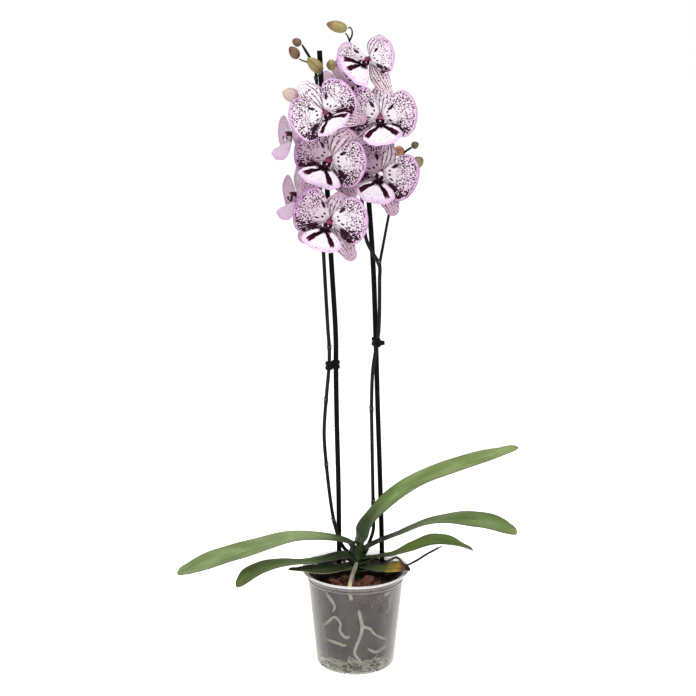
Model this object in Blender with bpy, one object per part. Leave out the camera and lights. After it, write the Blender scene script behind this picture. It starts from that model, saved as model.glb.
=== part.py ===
"""Potted moth orchid in a clear nursery pot: two staked flower stems, nine blooms, nine buds."""
import math
import random

import bmesh
import bpy
from mathutils import Matrix, Vector

# Driving sizes, millimetres; origin at the centre of the pot's foot, +Z up, front is -Y
MM = 0.001
GAP = 0.35                    # clearance between neighbouring pieces
POT_SIDES = 34
POT_RIM_RADIUS = 60.0
POT_HEIGHT = 110.0
POT_FOOT_RADIUS = 43.9
POT_NECK_RADIUS = 53.4        # outside of the wall just under the rings
POT_WALL = 1.0
POT_FLOOR = 1.8
FOOT_SLOTS = 8
BARK_TOP = 97.0
BARK_WALL_SPACE = 5.2         # room between bark core and pot wall, taken by the roots
BARK_CHIPS = 32
CROWN_AXIS = (1.0, -2.0)
CROWN_RADIUS = 7.4
STAKE_RADIUS = 2.75
SPIKE_RADIUS = 2.0
LEAF_THICKNESS = 2.0
BLADE_THICKNESS = 0.9
PETAL_LENGTH = 40.0
ROOT_SINK = 0.35

# Leaves: spine points, half widths along the spine, roll of the blade (degrees) and fold
LEAVES = {
    "leaf_1": dict(
        spine=[(-0.6, -3, 136.7), (-11, -4.6, 142.2), (-23, -6, 145.4), (-48.6, -10, 148.4),
               (-74, -13, 147.6), (-111.5, -18, 138), (-142.3, -22, 130.1), (-172.1, -24, 121), (-198, -22, 111.5)],
        half=[4.6, 7.0, 10, 14.5, 18, 20, 19, 15, 3.0], roll=[8, 4, 2, 0, -2, 0, 0, 0, 0],
        fold=0.16),
    "leaf_2": dict(
        spine=[(-5.3, -7.4, 126.6), (-14.1, -14, 129.5), (-21.8, -18, 129.2), (-39.4, -24, 126.8),
               (-61.3, -30, 126.2), (-83, -35, 126.4), (-102.6, -38, 122.4), (-120.1, -40, 113.3),
               (-131.5, -40, 103.5)],
        half=[4.5, 6.5, 8, 9.5, 13, 16.5, 17.5, 15, 4.0],
        roll=[4, 0, -4, -12, -13, -8, 0, 0, 0], fold=0.14),
    "leaf_3": dict(
        spine=[(2.5, -4.8, 136.0), (6.6, -7.2, 149), (12.4, -8.4, 161.4), (31.6, -13, 184.9),
               (65.3, -14, 209.9), (100.6, -14, 228), (141.9, -10, 240.8), (179, -4, 250.8)],
        half=[5.0, 8.0, 12.5, 17, 19.5, 18, 12, 1.8], roll=[24, 22, 18, 10, 6, 4, 2, 0], fold=0.15),
    "leaf_4": dict(
        spine=[(8.3, -0.7, 130.3), (17, 0.5, 135.6), (27.5, 2, 140.2), (50.1, 7, 147.1), (80.8, 13, 156.8),
               (115.1, 18, 158.6), (153.9, 20, 154.3), (184, 18, 144)],
        half=[4.2, 4.8, 6.5, 10.5, 16, 18.5, 17, 3.0], roll=[-8, -8, -10, -12, -14, 0, 6, 4],
        fold=0.15),
    "leaf_5": dict(
        spine=[(7.6, -8.6, 123), (24.9, -12, 126.9), (40.4, -15, 129.8), (61.3, -18, 137.4),
               (86.5, -20, 148), (109.7, -20, 147.4), (130.8, -16, 135.2)],
        half=[4.5, 7, 11, 16, 17, 13, 2.5], roll=[0, 0, 4, 8, 4, 2, 0], fold=0.3),
    "leaf_6": dict(
        spine=[(5.8, -10.4, 114.6), (21.6, -16, 113.6), (38.1, -20, 115.9), (51.3, -22, 117.4),
               (60.5, -22, 114.8)],
        half=[4.0, 8.5, 11.5, 9.5, 1.6], roll=[0, 4, 8, 8, 4], fold=0.2),
    "leaf_7": dict(
        spine=[(-4.4, -9.6, 115.2), (-19.6, -20, 115.9), (-37.2, -27, 116.5), (-55.8, -30.5, 118.7),
               (-74.0, -32, 119.3)],
        half=[3.6, 8.0, 9.5, 8.5, 1.8], roll=[0, -4, -8, -12, -8], fold=0.18),
}

# Dried strip of an old leaf sheath that hangs right of the crown
STRIP = [(5.1, -9.1, 119), (10.5, -13.6, 119.6), (22, -17, 121), (31.5, -27, 124.6), (39.3, -31, 131), (45.4, -32, 133.2),
         (50, -33, 129), (53.2, -33.5, 124.4), (65.7, -37, 131.3), (76.4, -40, 139.8),
         (86.1, -42, 146.3), (93.5, -42, 150)]

# Stakes: centre lines from foot to top, slightly bent
STAKES = {
    "stake_left": [(-18.0, 18, 30), (-18.6, 16, 126), (-19.1, 13, 195), (-21, 9.5, 281),
                   (-21.7, 7, 335), (-21.8, 6.4, 372), (-26.8, 5.5, 462), (-38.2, 4, 676)],
    "stake_right": [(31.0, 19, 30), (30.2, 18, 120), (27.4, 14.5, 211), (24.2, 11, 298),
                    (22.1, 9, 363), (18.0, 7, 462), (3.2, 4.5, 640), (0.2, 4, 672)],
}

# Flower stems: centre lines from the crown to the tip
SPIKES = {
    "spike_left": [
        (-4.7, 5.2, 122), (-9, 8.6, 125), (-14, 8.6, 131), (-19.8, 8.2, 144.2), (-25.4, 8, 167),
        (-32.6, 7, 227.2), (-34.9, 6, 264.3), (-32.2, 3.5, 306.8), (-29.9, 1.6, 331.7),
        (-28.9, 1, 347.6), (-28.9, 0.6, 362), (-30.2, 0, 381), (-34.6, -0.6, 462.8),
        (-37.3, -2.5, 521.6), (-39.2, -4, 584.4), (-40.8, -4, 635.7), (-42.2, -4, 654),
        (-45.8, -4, 664.1), (-49.2, -4, 670.5), (-53, -4, 676.5), (-56.3, -3.6, 681.9)],
    "spike_right": [
        (6.7, 5.2, 122), (10.6, 8.6, 126), (15.4, 11, 135), (20.0, 10.5, 150), (19.6, 8, 183),
        (18.1, 6, 256.2), (17.4, 3.5, 296.6), (18.6, 0.5, 336.9), (22.6, -0.4, 364.8),
        (24.9, -0.6, 381.4), (25.4, -2, 436.1), (25.1, -3.4, 452.4), (17.6, -4, 466),
        (10.9, -4, 480.3), (6.3, -4, 521.7), (2, -4, 574), (-2.2, -4, 625.5),
        (-5.9, -4, 666.2), (-6.9, -3.5, 686)],
}
BRANCH_RIGHT = [(25.1, -3.4, 452.4), (30, -1, 478.9), (34.9, 4, 504.2), (40.6, 8, 531.5),
                (46.9, 9, 557.8), (51, 9, 570.5), (56.2, 8, 574.6), (58.6, 7, 576.3)]

# Blooms: centre, roll, yaw, pitch (degrees), petal lift, dorsal lean and length, swing of the
# lip, size, and the stem with the height where the stalk leaves it
BLOOMS = [
    dict(at=(12.4, -45, 665.0), turn=(-5, -20, -2), lift=6, lean=-14, dorsal=33, lip=25, size=0.82,
         stem=("spike_right", 652)),
    dict(at=(-31.7, -50, 613.0), turn=(38, 6, -5), lift=17, lean=5, dorsal=41, lip=-17, size=0.92,
         stem=("spike_left", 598)),
    dict(at=(24.2, -36, 608.2), turn=(-6, 0, -4), lift=13, lean=-2, dorsal=38, lip=-13, size=0.95,
         stem=("spike_right", 596)),
    dict(at=(-26.5, -36, 565.3), turn=(-16, -18, -6), lift=4, lean=-10, dorsal=38, lip=8, size=0.99,
         stem=("spike_left", 552)),
    dict(at=(25.9, -20, 551.0), turn=(-24, -5, -3), lift=11, lean=0, dorsal=36, lip=-6, size=0.99,
         stem=("spike_right", 538)),
    dict(at=(-26.6, -47, 503.6), turn=(-13, -10, -6), lift=14, lean=-6, dorsal=31, lip=9, size=1.0,
         stem=("spike_left", 492)),
    dict(at=(-67.5, 12, 590), turn=(4, -65, 0), lift=10, lean=0, dorsal=36, lip=0, size=0.92,
         stem=("spike_left", 605)),
    dict(at=(-63.5, 17, 526), turn=(4, -65, 0), lift=10, lean=0, dorsal=36, lip=0, size=0.92,
         stem=("spike_left", 536)),
    dict(at=(-20, 21, 646), turn=(8, 172, 0), lift=10, lean=0, dorsal=36, lip=0, size=0.62,
         stem=("spike_right", 632)),
]

# Buds: root and tip of the bud, and its largest radius
BUDS = [
    ((-9.5, -3, 697.3), (-30.6, -4, 702.4), 6.9),
    ((-36.6, -14.4, 655.0), (-48.6, -15.5, 666.4), 6.8),
    ((-56.9, -3.4, 683.2), (-66.2, -3, 688.2), 4.3),
    ((-59.8, -7.5, 667.8), (-68.6, -8, 679.2), 5.4),
    ((-21.8, -1, 661.0), (-31.0, -2, 661.4), 5.8),
    ((-61.0, 4.0, 628.4), (-77.0, 1.0, 633.7), 7.4),
    ((50.0, 3.6, 573.2), (39.2, 1.0, 571.6), 4.8),
    ((58.9, 6.8, 577.1), (66.2, 5.6, 580.6), 4.0),
    ((60.6, 5.0, 556.6), (70.4, 2.5, 565.6), 6.0),
]

# Thin stalks that carry the buds, fused to their stem
STALKS = {
    "spike_left": [
        [(-42.0, -4, 650), (-38.6, -9.5, 650.6), (-35.9, -13.6, 653.6)],
        [(-43.6, -4, 658.5), (-50.5, -3.6, 663.6), (-57.2, -5.6, 666.2), (-59.0, -7.2, 667.0)],
        [(-41.0, -4, 640), (-50, -1, 634), (-60.0, 3.8, 628.2)],
    ],
    "spike_right": [
        [(-6.9, -3.5, 685.4), (-4.4, -3, 691), (-4.4, -2.6, 696), (-6.6, -2.6, 699), (-8.3, -3, 698)],
        [(-6.9, -3.5, 685.4), (-9.2, -3.4, 690.6), (-11.2, -3.2, 692.4)],
        [(-5.2, -4, 659), (-13, -2.4, 660.6), (-20.8, -1.2, 660.9)],
        [(46.9, 9, 557.8), (53, 8, 554.6), (60.0, 5.4, 556)],
        [(50.8, 9, 570.0), (50.8, 6.6, 572.6), (50.7, 5.0, 573.2)],
    ],
}

# Roots on the wall: angle round the pot (degrees, 0 in front, + to the right), height, radius
ROOTS = {
    "root_main": [
        [(-7.4, 98, 2.2), (-5.4, 91, 2.1), (3.4, 78.9, 2.1), (6.3, 69.1, 2.1), (8.6, 59.2, 2.0),
         (6.7, 47.1, 1.9), (0.4, 33.6, 1.8), (-1.5, 25.3, 1.7), (5, 18, 1.6), (11.4, 10.9, 1.3)],
        [(8.6, 59.2, 1.8), (20.2, 54.5, 1.7), (28.4, 46.4, 1.6), (43.6, 39, 1.5), (54, 35.2, 1.0)],
        [(6.4, 45, 1.5), (-8.1, 43.3, 1.5), (-16.7, 46.3, 1.5), (-22.4, 52.4, 1.5),
         (-21, 61.7, 1.5), (-29.1, 67.8, 1.6), (-43.8, 57.3, 1.7), (-62.1, 49, 1.2)],
    ],
    "root_low": [
        [(-58, 35, 1.2), (-49.6, 36.4, 1.6), (-30.4, 36.6, 1.6), (-18.7, 34.5, 1.6),
         (-13, 26, 1.5), (-11.7, 17.1, 1.5), (-16.8, 9.2, 1.5), (-43.7, 11.8, 1.4), (-66.6, 10.2, 1.0)],
        [(-11.7, 17.1, 1.3), (-3.5, 11.2, 1.0)],
    ],
    "root_left": [[(-56, 90, 1.4), (-47, 95, 1.8), (-35.1, 89.6, 1.9), (-28.2, 80.1, 1.6),
                   (-32, 73.5, 1.1)]],
    "root_right": [
        [(40, 92, 1.4), (58, 93, 1.8), (65, 82.6, 1.9), (68.7, 56, 1.8), (58, 43.2, 1.1)],
        [(58, 93, 1.5), (51.6, 84.3, 1.6), (51.7, 75.8, 1.5), (45.5, 69, 1.0)],
    ],
    "root_foot": [[(18.4, 30.5, 1.2), (32, 24.3, 1.7), (43.3, 26.0, 1.8), (54.6, 28, 1.8),
                   (66, 28.5, 1.7), (73, 21, 1.6), (60.9, 13.7, 1.5), (27.3, 16.7, 1.0)]],
    "root_rear_1": [[(96, 88, 1.4), (108, 74, 1.9), (124, 66, 1.9), (133, 48, 1.8), (150, 38, 1.7),
                     (163, 22, 1.6), (146, 12, 1.2)],
                    [(133, 48, 1.6), (116, 36, 1.6), (104, 22, 1.5), (90, 12, 1.1)]],
    "root_rear_2": [[(182, 90, 1.4), (196, 76, 1.9), (190, 60, 1.9), (208, 46, 1.8), (226, 40, 1.7),
                     (240, 24, 1.6), (262, 13, 1.1)],
                    [(208, 46, 1.6), (198, 30, 1.5), (204, 14, 1.1)],
                    [(190, 60, 1.5), (222, 66, 1.6), (250, 58, 1.5), (272, 66, 1.1)]],
}
AERIAL_ROOT = [(1.0, -9.9, 117.8), (-0.4, -17, 116), (-2.4, -24, 113.6), (-4.7, -34, 110.0),
               (-6.4, -44.6, 106.4), (-6.6, -48.4, 103.6)]

# Drawn outline of a petal: angle from its axis (degrees) and reach as a share of its length
PETAL_OUTLINE = [(0, 1.0), (15, 0.995), (29, 0.975), (40, 0.93), (48, 0.84), (53, 0.70),
                 (57, 0.50), (59, 0.31)]
# Drawn outline of a lip: angle from straight down and reach as a share of its length
LIP_OUTLINE = [(-54, 0.66), (-46, 0.93), (-22, 1.0), (0, 0.97), (22, 1.0), (46, 0.93), (54, 0.66)]
LIP_REACH = 30.0


def spline(points, count):
    """Even samples of a smooth curve through the points; values may have any length."""
    pts = [Vector(p[:3]) for p in points]
    knots = [0.0]
    for a, b in zip(pts, pts[1:]):
        knots.append(knots[-1] + max((b - a).length, 1e-6) ** 0.5)
    rows = [list(p) for p in points]

    def at(k, u):
        i0, i1, i2, i3 = max(k - 1, 0), k, k + 1, min(k + 2, len(rows) - 1)
        t1, t2 = knots[i1], knots[i2]
        t0 = knots[i0] if i0 != i1 else t1 - (t2 - t1)
        t3 = knots[i3] if i3 != i2 else t2 + (t2 - t1)
        t = t1 + (t2 - t1) * u
        out = []
        for p0, p1, p2, p3 in zip(rows[i0], rows[i1], rows[i2], rows[i3]):
            if i0 == i1:
                p0 = 2 * p1 - p2
            if i3 == i2:
                p3 = 2 * p2 - p1
            a1 = ((t1 - t) * p0 + (t - t0) * p1) / (t1 - t0)
            a2 = ((t2 - t) * p1 + (t - t1) * p2) / (t2 - t1)
            a3 = ((t3 - t) * p2 + (t - t2) * p3) / (t3 - t2)
            b1 = ((t2 - t) * a1 + (t - t0) * a2) / (t2 - t0)
            b2 = ((t3 - t) * a2 + (t - t1) * a3) / (t3 - t1)
            out.append(((t2 - t) * b1 + (t - t1) * b2) / (t2 - t1))
        return out

    fine = [at(k, j / 12) for k in range(len(rows) - 1) for j in range(12)] + [rows[-1]]
    run = [0.0]
    for a, b in zip(fine, fine[1:]):
        run.append(run[-1] + (Vector(b[:3]) - Vector(a[:3])).length)
    out, j = [], 0
    for i in range(count):
        want = run[-1] * i / (count - 1)
        while j < len(run) - 2 and run[j + 1] < want:
            j += 1
        f = (want - run[j]) / max(run[j + 1] - run[j], 1e-9)
        out.append([a + (b - a) * f for a, b in zip(fine[j], fine[j + 1])])
    return out


def paint(name, colour, roughness, alpha=1.0):
    """Plain surface colour for one kind of piece."""
    mat = bpy.data.materials.get(name) or bpy.data.materials.new(name)
    mat.use_nodes = True
    shader = mat.node_tree.nodes["Principled BSDF"]
    shader.inputs["Base Color"].default_value = (*colour, 1.0)
    shader.inputs["Roughness"].default_value = roughness
    shader.inputs["Metallic"].default_value = 0.0
    shader.inputs["Alpha"].default_value = alpha
    return mat


def solid(name, verts, faces, material, smooth=True):
    """One closed mesh object from millimetre vertices."""
    mesh = bpy.data.meshes.new(name)
    mesh.from_pydata([Vector(v) * MM for v in verts], [], faces)
    work = bmesh.new()
    work.from_mesh(mesh)
    bmesh.ops.recalc_face_normals(work, faces=work.faces)
    for face in work.faces:
        face.smooth = smooth
    work.to_mesh(mesh)
    work.free()
    mesh.materials.append(material)
    obj = bpy.data.objects.new(name, mesh)
    bpy.context.scene.collection.objects.link(obj)
    return obj


def frames(points):
    """Tangent and two cross directions at every point, carried along without twist."""
    pts = [Vector(p[:3]) for p in points]
    out, side = [], None
    for i, p in enumerate(pts):
        tangent = (pts[min(i + 1, len(pts) - 1)] - pts[max(i - 1, 0)]).normalized()
        if side is None:
            side = tangent.cross(Vector((0, 1, 0)))
            if side.length < 0.2:
                side = tangent.cross(Vector((1, 0, 0)))
        side = (side - tangent * side.dot(tangent)).normalized()
        out.append((p, tangent, side, tangent.cross(side)))
    return out


def tube(name, points, radii, sides, material):
    """Round stem with flat ends along a line of points."""
    verts, faces = [], []
    rows = frames(points)
    for (p, _, u, v), r in zip(rows, radii):
        for k in range(sides):
            a = 2 * math.pi * k / sides
            verts.append(p + u * math.cos(a) * r + v * math.sin(a) * r)
    for i in range(len(rows) - 1):
        for k in range(sides):
            a, b = i * sides + k, i * sides + (k + 1) % sides
            faces.append((a, b, b + sides, a + sides))
    faces.append(tuple(range(sides))[::-1])
    faces.append(tuple(range((len(rows) - 1) * sides, len(rows) * sides)))
    return solid(name, verts, faces, material)


def revolve(name, profile, sides, material, centre=(0, 0), smooth=True):
    """Turned body about a vertical axis; profile runs axis to axis as radius and height."""
    verts, faces, rings = [], [], []
    for r, z in profile:
        if r < 1e-6:
            verts.append((centre[0], centre[1], z))
            rings.append([len(verts) - 1] * sides)
        else:
            rings.append(list(range(len(verts), len(verts) + sides)))
            for k in range(sides):
                a = 2 * math.pi * (k + 0.5) / sides
                verts.append((centre[0] + r * math.sin(a), centre[1] - r * math.cos(a), z))
    for lower, upper in zip(rings, rings[1:]):
        for k in range(sides):
            n = (k + 1) % sides
            face = [lower[k], lower[n], upper[n], upper[k]]
            face = [v for i, v in enumerate(face) if v != face[i - 1]]
            if len(face) > 2:
                faces.append(tuple(face))
    return solid(name, verts, faces, material, smooth)


def plate(name, grid, thickness, material):
    """Thin blade about a grid of points, cut into triangles alike on both faces."""
    rows, cols = len(grid), len(grid[0])
    half = thickness / 2
    front, back = [], []
    for i in range(rows):
        for j in range(cols):
            along = grid[min(i + 1, rows - 1)][j] - grid[max(i - 1, 0)][j]
            across = grid[i][min(j + 1, cols - 1)] - grid[i][max(j - 1, 0)]
            normal = along.cross(across).normalized()
            front.append(grid[i][j] + normal * half)
            back.append(grid[i][j] - normal * half)
    shift = rows * cols
    faces = []
    for i in range(rows - 1):
        for j in range(cols - 1):
            a, b = i * cols + j, i * cols + j + 1
            c, d = b + cols, a + cols
            for x, y, z in ((a, b, c), (a, c, d)):
                faces.append((x, y, z))
                faces.append((z + shift, y + shift, x + shift))
    edge = list(range(cols)) + [i * cols + cols - 1 for i in range(1, rows)]
    edge += [(rows - 1) * cols + j for j in range(cols - 2, -1, -1)]
    edge += [i * cols for i in range(rows - 2, 0, -1)]
    for k, a in enumerate(edge):
        b = edge[(k + 1) % len(edge)]
        faces.append((a, b, b + shift, a + shift))
    return solid(name, front + back, faces, material)


def combine(base, others, operation):
    """One Boolean of a body with a group of bodies, applied; the group is removed."""
    group = bpy.data.collections.new(base.name + "_group")
    for obj in others:
        for owner in list(obj.users_collection):
            owner.objects.unlink(obj)
        group.objects.link(obj)
    mod = base.modifiers.new("join", "BOOLEAN")
    mod.operation = operation
    mod.operand_type = "COLLECTION"
    mod.collection = group
    mod.solver = "EXACT"
    bpy.context.view_layer.update()
    graph = bpy.context.evaluated_depsgraph_get()
    mesh = bpy.data.meshes.new_from_object(base.evaluated_get(graph))
    base.modifiers.clear()
    base.data = mesh
    for obj in others:
        bpy.data.objects.remove(obj, do_unlink=True)
    bpy.data.collections.remove(group)
    return base


def largest(obj):
    """Keep the largest connected body of an object."""
    work = bmesh.new()
    work.from_mesh(obj.data)
    left, bodies = set(work.verts), []
    while left:
        seed = left.pop()
        body, edge = {seed}, [seed]
        while edge:
            for link in edge.pop().link_edges:
                for vert in link.verts:
                    if vert not in body:
                        body.add(vert)
                        edge.append(vert)
        left -= body
        bodies.append(body)
    bodies.sort(key=len)
    for body in bodies[:-1]:
        bmesh.ops.delete(work, geom=list(body), context="VERTS")
    work.to_mesh(obj.data)
    work.free()
    return obj


def wall_inside(z):
    """Inner radius of the pot wall at a height."""
    outer = POT_FOOT_RADIUS + (POT_NECK_RADIUS - POT_FOOT_RADIUS) * (z - 3.2) / 95.3
    return outer - POT_WALL


def make_pot():
    """Clear pot: rounded foot, tapering wall, two rings, flared lip and foot slots."""
    w = POT_WALL
    n, f = POT_NECK_RADIUS, POT_FOOT_RADIUS
    profile = [
        (0, 0), (f - 3.0, 0), (f - 0.9, 0.9), (f, 3.2), (n, 98.5), (n + 1.1, 99.3),
        (n + 1.1, 100.5), (n + 0.3, 101.3), (n + 0.5, 102.2), (n + 1.5, 103.0), (n + 1.6, 104.2),
        (n + 1.2, 105.2), (n + 2.6, 107.0), (POT_RIM_RADIUS, 108.3),
        (POT_RIM_RADIUS, POT_HEIGHT - 0.6), (POT_RIM_RADIUS - 0.8, POT_HEIGHT),
        (n + 2.4, 108.6), (n - w + 0.9, 106.6), (n - w, 98.5), (f - w, 3.6),
        (f - w - 0.9, POT_FLOOR + 0.4), (f - w - 2.6, POT_FLOOR), (0, POT_FLOOR)]
    pot = revolve("pot", profile, POT_SIDES, CLEAR)
    slots = []
    for k in range(FOOT_SLOTS):
        turn = Matrix.Rotation(math.radians(360 / FOOT_SLOTS * k - 13), 3, "Z")
        x0, x1, y0, y1, z0, z1 = -2.2, 2.2, -46.5, -38.6, -1.0, 3.4
        box = [(x0, y0, z0), (x1, y0, z0), (x1, y1, z0), (x0, y1, z0),
               (x0, y0, z1), (x1, y0, z1), (x1, y1, z1), (x0, y1, z1)]
        sides = [(0, 3, 2, 1), (4, 5, 6, 7), (0, 1, 5, 4), (1, 2, 6, 5), (2, 3, 7, 6), (3, 0, 4, 7)]
        slots.append(solid("slot", [turn @ Vector(v) for v in box], sides, CLEAR, False))
    return combine(pot, slots, "DIFFERENCE")


def wall_points(path, steps):
    """Points of a root that hugs the inside of the wall."""
    rows = []
    for angle, z, r in path:
        reach = wall_inside(z) - ROOT_SINK - r
        a = math.radians(angle)
        rows.append((reach * math.sin(a), -reach * math.cos(a), z, r))
    out = []
    for x, y, z, r in spline(rows, steps):
        reach = wall_inside(z) - ROOT_SINK - r
        k = reach / math.hypot(x, y)
        out.append((x * k, y * k, z, r))
    return out


def root_tubes(name, grow=0.0, paths=None):
    """Tubes of one root, made wider by grow for cutting its channel."""
    tubes = []
    for i, path in enumerate(ROOTS[name][:paths]):
        length = sum(abs(b[0] - a[0]) * 0.85 + abs(b[1] - a[1]) for a, b in zip(path, path[1:]))
        rows = wall_points(path, max(4, int(length / 9)))
        if name == "root_main" and i == 0:
            lead = spline([(*p, 2.4) for p in AERIAL_ROOT] + [tuple(rows[0])], 7)
            rows = lead[:-1] + rows
        tubes.append(tube(name if i == 0 else "limb", rows, [r[3] + grow for r in rows], 6, ROOT))
    return tubes


def make_roots():
    """Each root with its branches as one body."""
    for name in ROOTS:
        first, *rest = root_tubes(name)
        if rest:
            combine(first, rest, "UNION")


def chip(rng, x, y, z, size):
    """One angular bark chip."""
    turn = Matrix.Rotation(rng.uniform(0, 6.28), 3, "Z") @ Matrix.Rotation(rng.uniform(-0.5, 0.5), 3, "X")
    turn = turn @ Matrix.Rotation(rng.uniform(-0.4, 0.4), 3, "Y")
    a, b, c = size * rng.uniform(0.8, 1.2), size * rng.uniform(0.5, 0.8), size * rng.uniform(0.28, 0.42)
    corners = []
    for sx, sy, sz in [(-1, -1, -1), (1, -1, -1), (1, 1, -1), (-1, 1, -1),
                       (-1, -1, 1), (1, -1, 1), (1, 1, 1), (-1, 1, 1)]:
        jitter = [rng.uniform(0.7, 1.05) for _ in range(3)]
        corner = Vector((sx * a * jitter[0], sy * b * jitter[1], sz * c * jitter[2]))
        corners.append(turn @ corner + Vector((x, y, z)))
    faces = [(0, 2, 1), (0, 3, 2), (4, 5, 6), (4, 6, 7), (0, 1, 5), (0, 5, 4), (1, 2, 6),
             (1, 6, 5), (2, 3, 7), (2, 7, 6), (3, 0, 4), (3, 4, 7)]
    return solid("chip", corners, faces, BARK, False)


def make_bark():
    """Chip fill: a core with chips sunk into its top, and holes for all that stands in it."""
    rng = random.Random(11)
    low, high = wall_inside(8) - BARK_WALL_SPACE, wall_inside(BARK_TOP) - BARK_WALL_SPACE
    profile = [(0, POT_FLOOR + GAP), (low - 3, POT_FLOOR + GAP), (low, 6), (high, BARK_TOP - 4),
               (high - 3, BARK_TOP), (0, BARK_TOP + 1.5)]
    core = revolve("bark", profile, 22, BARK, smooth=False)
    chips = []
    for k in range(BARK_CHIPS):
        reach = 45.5 * math.sqrt((k + 0.6) / BARK_CHIPS)
        a = k * 2.39996
        size = rng.uniform(6.0, 8.5)
        if reach > 34:
            reach, size = 41.5, rng.uniform(5.4, 6.6)
        z = BARK_TOP + rng.uniform(0.5, 3.5)
        chips.append(chip(rng, reach * math.sin(a), -reach * math.cos(a), z, size))
    bark = combine(core, chips, "UNION")
    cutters = []
    for line in STAKES.values():
        points = stake_points(line)
        ends = [Vector(points[0]) - (Vector(points[1]) - Vector(points[0])).normalized() * GAP]
        cutters.append(tube("hole", ends + points[1:], [STAKE_RADIUS + GAP] * len(points), 12, BARK))
    cutters.append(revolve("hole", [(0, 84 - GAP), (CROWN_RADIUS + GAP, 84 - GAP),
                                    (CROWN_RADIUS + GAP, 130), (0, 130)], 14, BARK, CROWN_AXIS))
    for name in ("root_main", "root_left", "root_right", "root_rear_1", "root_rear_2"):
        cutters += root_tubes(name, GAP, 1)
    return largest(combine(bark, cutters, "DIFFERENCE"))


def make_crown():
    """Short stem: stands in its hole, widest where the leaves leave it."""
    r = CROWN_RADIUS
    profile = [(0, 84), (r - 1.4, 84), (r, 86), (r, 127), (r - 1.0, 132), (r - 2.6, 135.0), (0, 135.6)]
    return revolve("crown", profile, 14, STEM, CROWN_AXIS)


def leaf(name, spine, half, roll, fold, steps=10, cols=4):
    """Leaf blade lofted along its spine, folded along the midrib."""
    rows = spline([(*p, h, q) for p, h, q in zip(spine, half, roll)], steps)
    pts = [Vector(r[:3]) for r in rows]
    grid = []
    for i, p in enumerate(pts):
        tangent = (pts[min(i + 1, steps - 1)] - pts[max(i - 1, 0)]).normalized()
        across = tangent.cross(Vector((0, 0, 1)))
        if across.y < 0:
            across.negate()
        across.normalize()
        up = tangent.cross(across)
        if up.z < 0:
            up.negate()
        q = math.radians(rows[i][4])
        side = across * math.cos(q) + up * math.sin(q)
        rise = up * math.cos(q) - across * math.sin(q)
        width = max(rows[i][3], 1.2)
        row = []
        for j in range(cols + 1):
            v = -1 + 2 * j / cols
            row.append(p + side * width * v + rise * fold * width * (abs(v) ** 1.4))
        grid.append(row)
    return plate(name, grid, LEAF_THICKNESS, LEAF)


def stake_points(line):
    """Samples along a stake's centre line."""
    return [Vector(p[:3]) for p in spline(line, 8)]


def make_stakes():
    """Round black sticks, flat at both ends."""
    for name, line in STAKES.items():
        points = stake_points(line)
        tube(name, points, [STAKE_RADIUS] * len(points), 10, STAKE)


def bloom_turn(spec):
    """Rotation of a bloom: roll in its plane, nod, then turn about the vertical."""
    roll, yaw, pitch = (math.radians(a) for a in spec["turn"])
    return (Matrix.Rotation(yaw, 3, "Z") @ Matrix.Rotation(-pitch, 3, "X")
            @ Matrix.Rotation(-roll, 3, "Y"))


def stem_at(line, height):
    """Point of a centre line at a height."""
    rows = [Vector(p) for p in line]
    for a, b in zip(rows, rows[1:]):
        if a.z <= height <= b.z:
            return a.lerp(b, (height - a.z) / (b.z - a.z))
    return rows[-1]


def stem_radius(z):
    """Stems taper gently to the tip."""
    return SPIKE_RADIUS * (1.0 - 0.30 * max(0.0, min(1.0, (z - 470) / 220)))


def spike_points(name):
    """Samples along a flower stem's centre line."""
    line = SPIKES[name]
    return [Vector(p[:3]) for p in spline(line, 28)]


def spike_limbs(name):
    """Side branches and stalks of one flower stem, rooted on its centre line."""
    limbs = []
    if name == "spike_right":
        rows = [Vector(p[:3]) for p in spline(BRANCH_RIGHT, 10)]
        limbs.append((rows, [1.6 - 0.05 * i for i in range(10)]))
    for line in STALKS[name]:
        rows = [Vector(p[:3]) for p in spline(line, 2 + len(line))]
        limbs.append((rows, [0.95] * len(rows)))
    for spec in BLOOMS:
        stem, height = spec["stem"]
        if stem != name:
            continue
        start = stem_at(SPIKES[stem], height)
        turn = bloom_turn(spec)
        back = turn @ Vector((0, 1, 0))
        end = Vector(spec["at"]) + back * (spec["size"] * 4.05 + GAP)
        mid = start.lerp(end, 0.45) + Vector((0, 0, 2.5))
        rows = [Vector(p[:3]) for p in spline([start, mid, end + back * 5, end], 6)]
        limbs.append((rows, [1.15, 1.15, 1.15, 1.2, 1.3, 1.5]))
    return limbs


def make_spikes():
    """Each flower stem with its branch and stalks as one body."""
    for name in SPIKES:
        rows = spike_points(name)
        body = tube(name, rows, [stem_radius(p.z) for p in rows], 6, DARK)
        limbs = [tube("limb", pts, radii, 5, DARK) for pts, radii in spike_limbs(name)]
        combine(body, limbs, "UNION")


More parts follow.
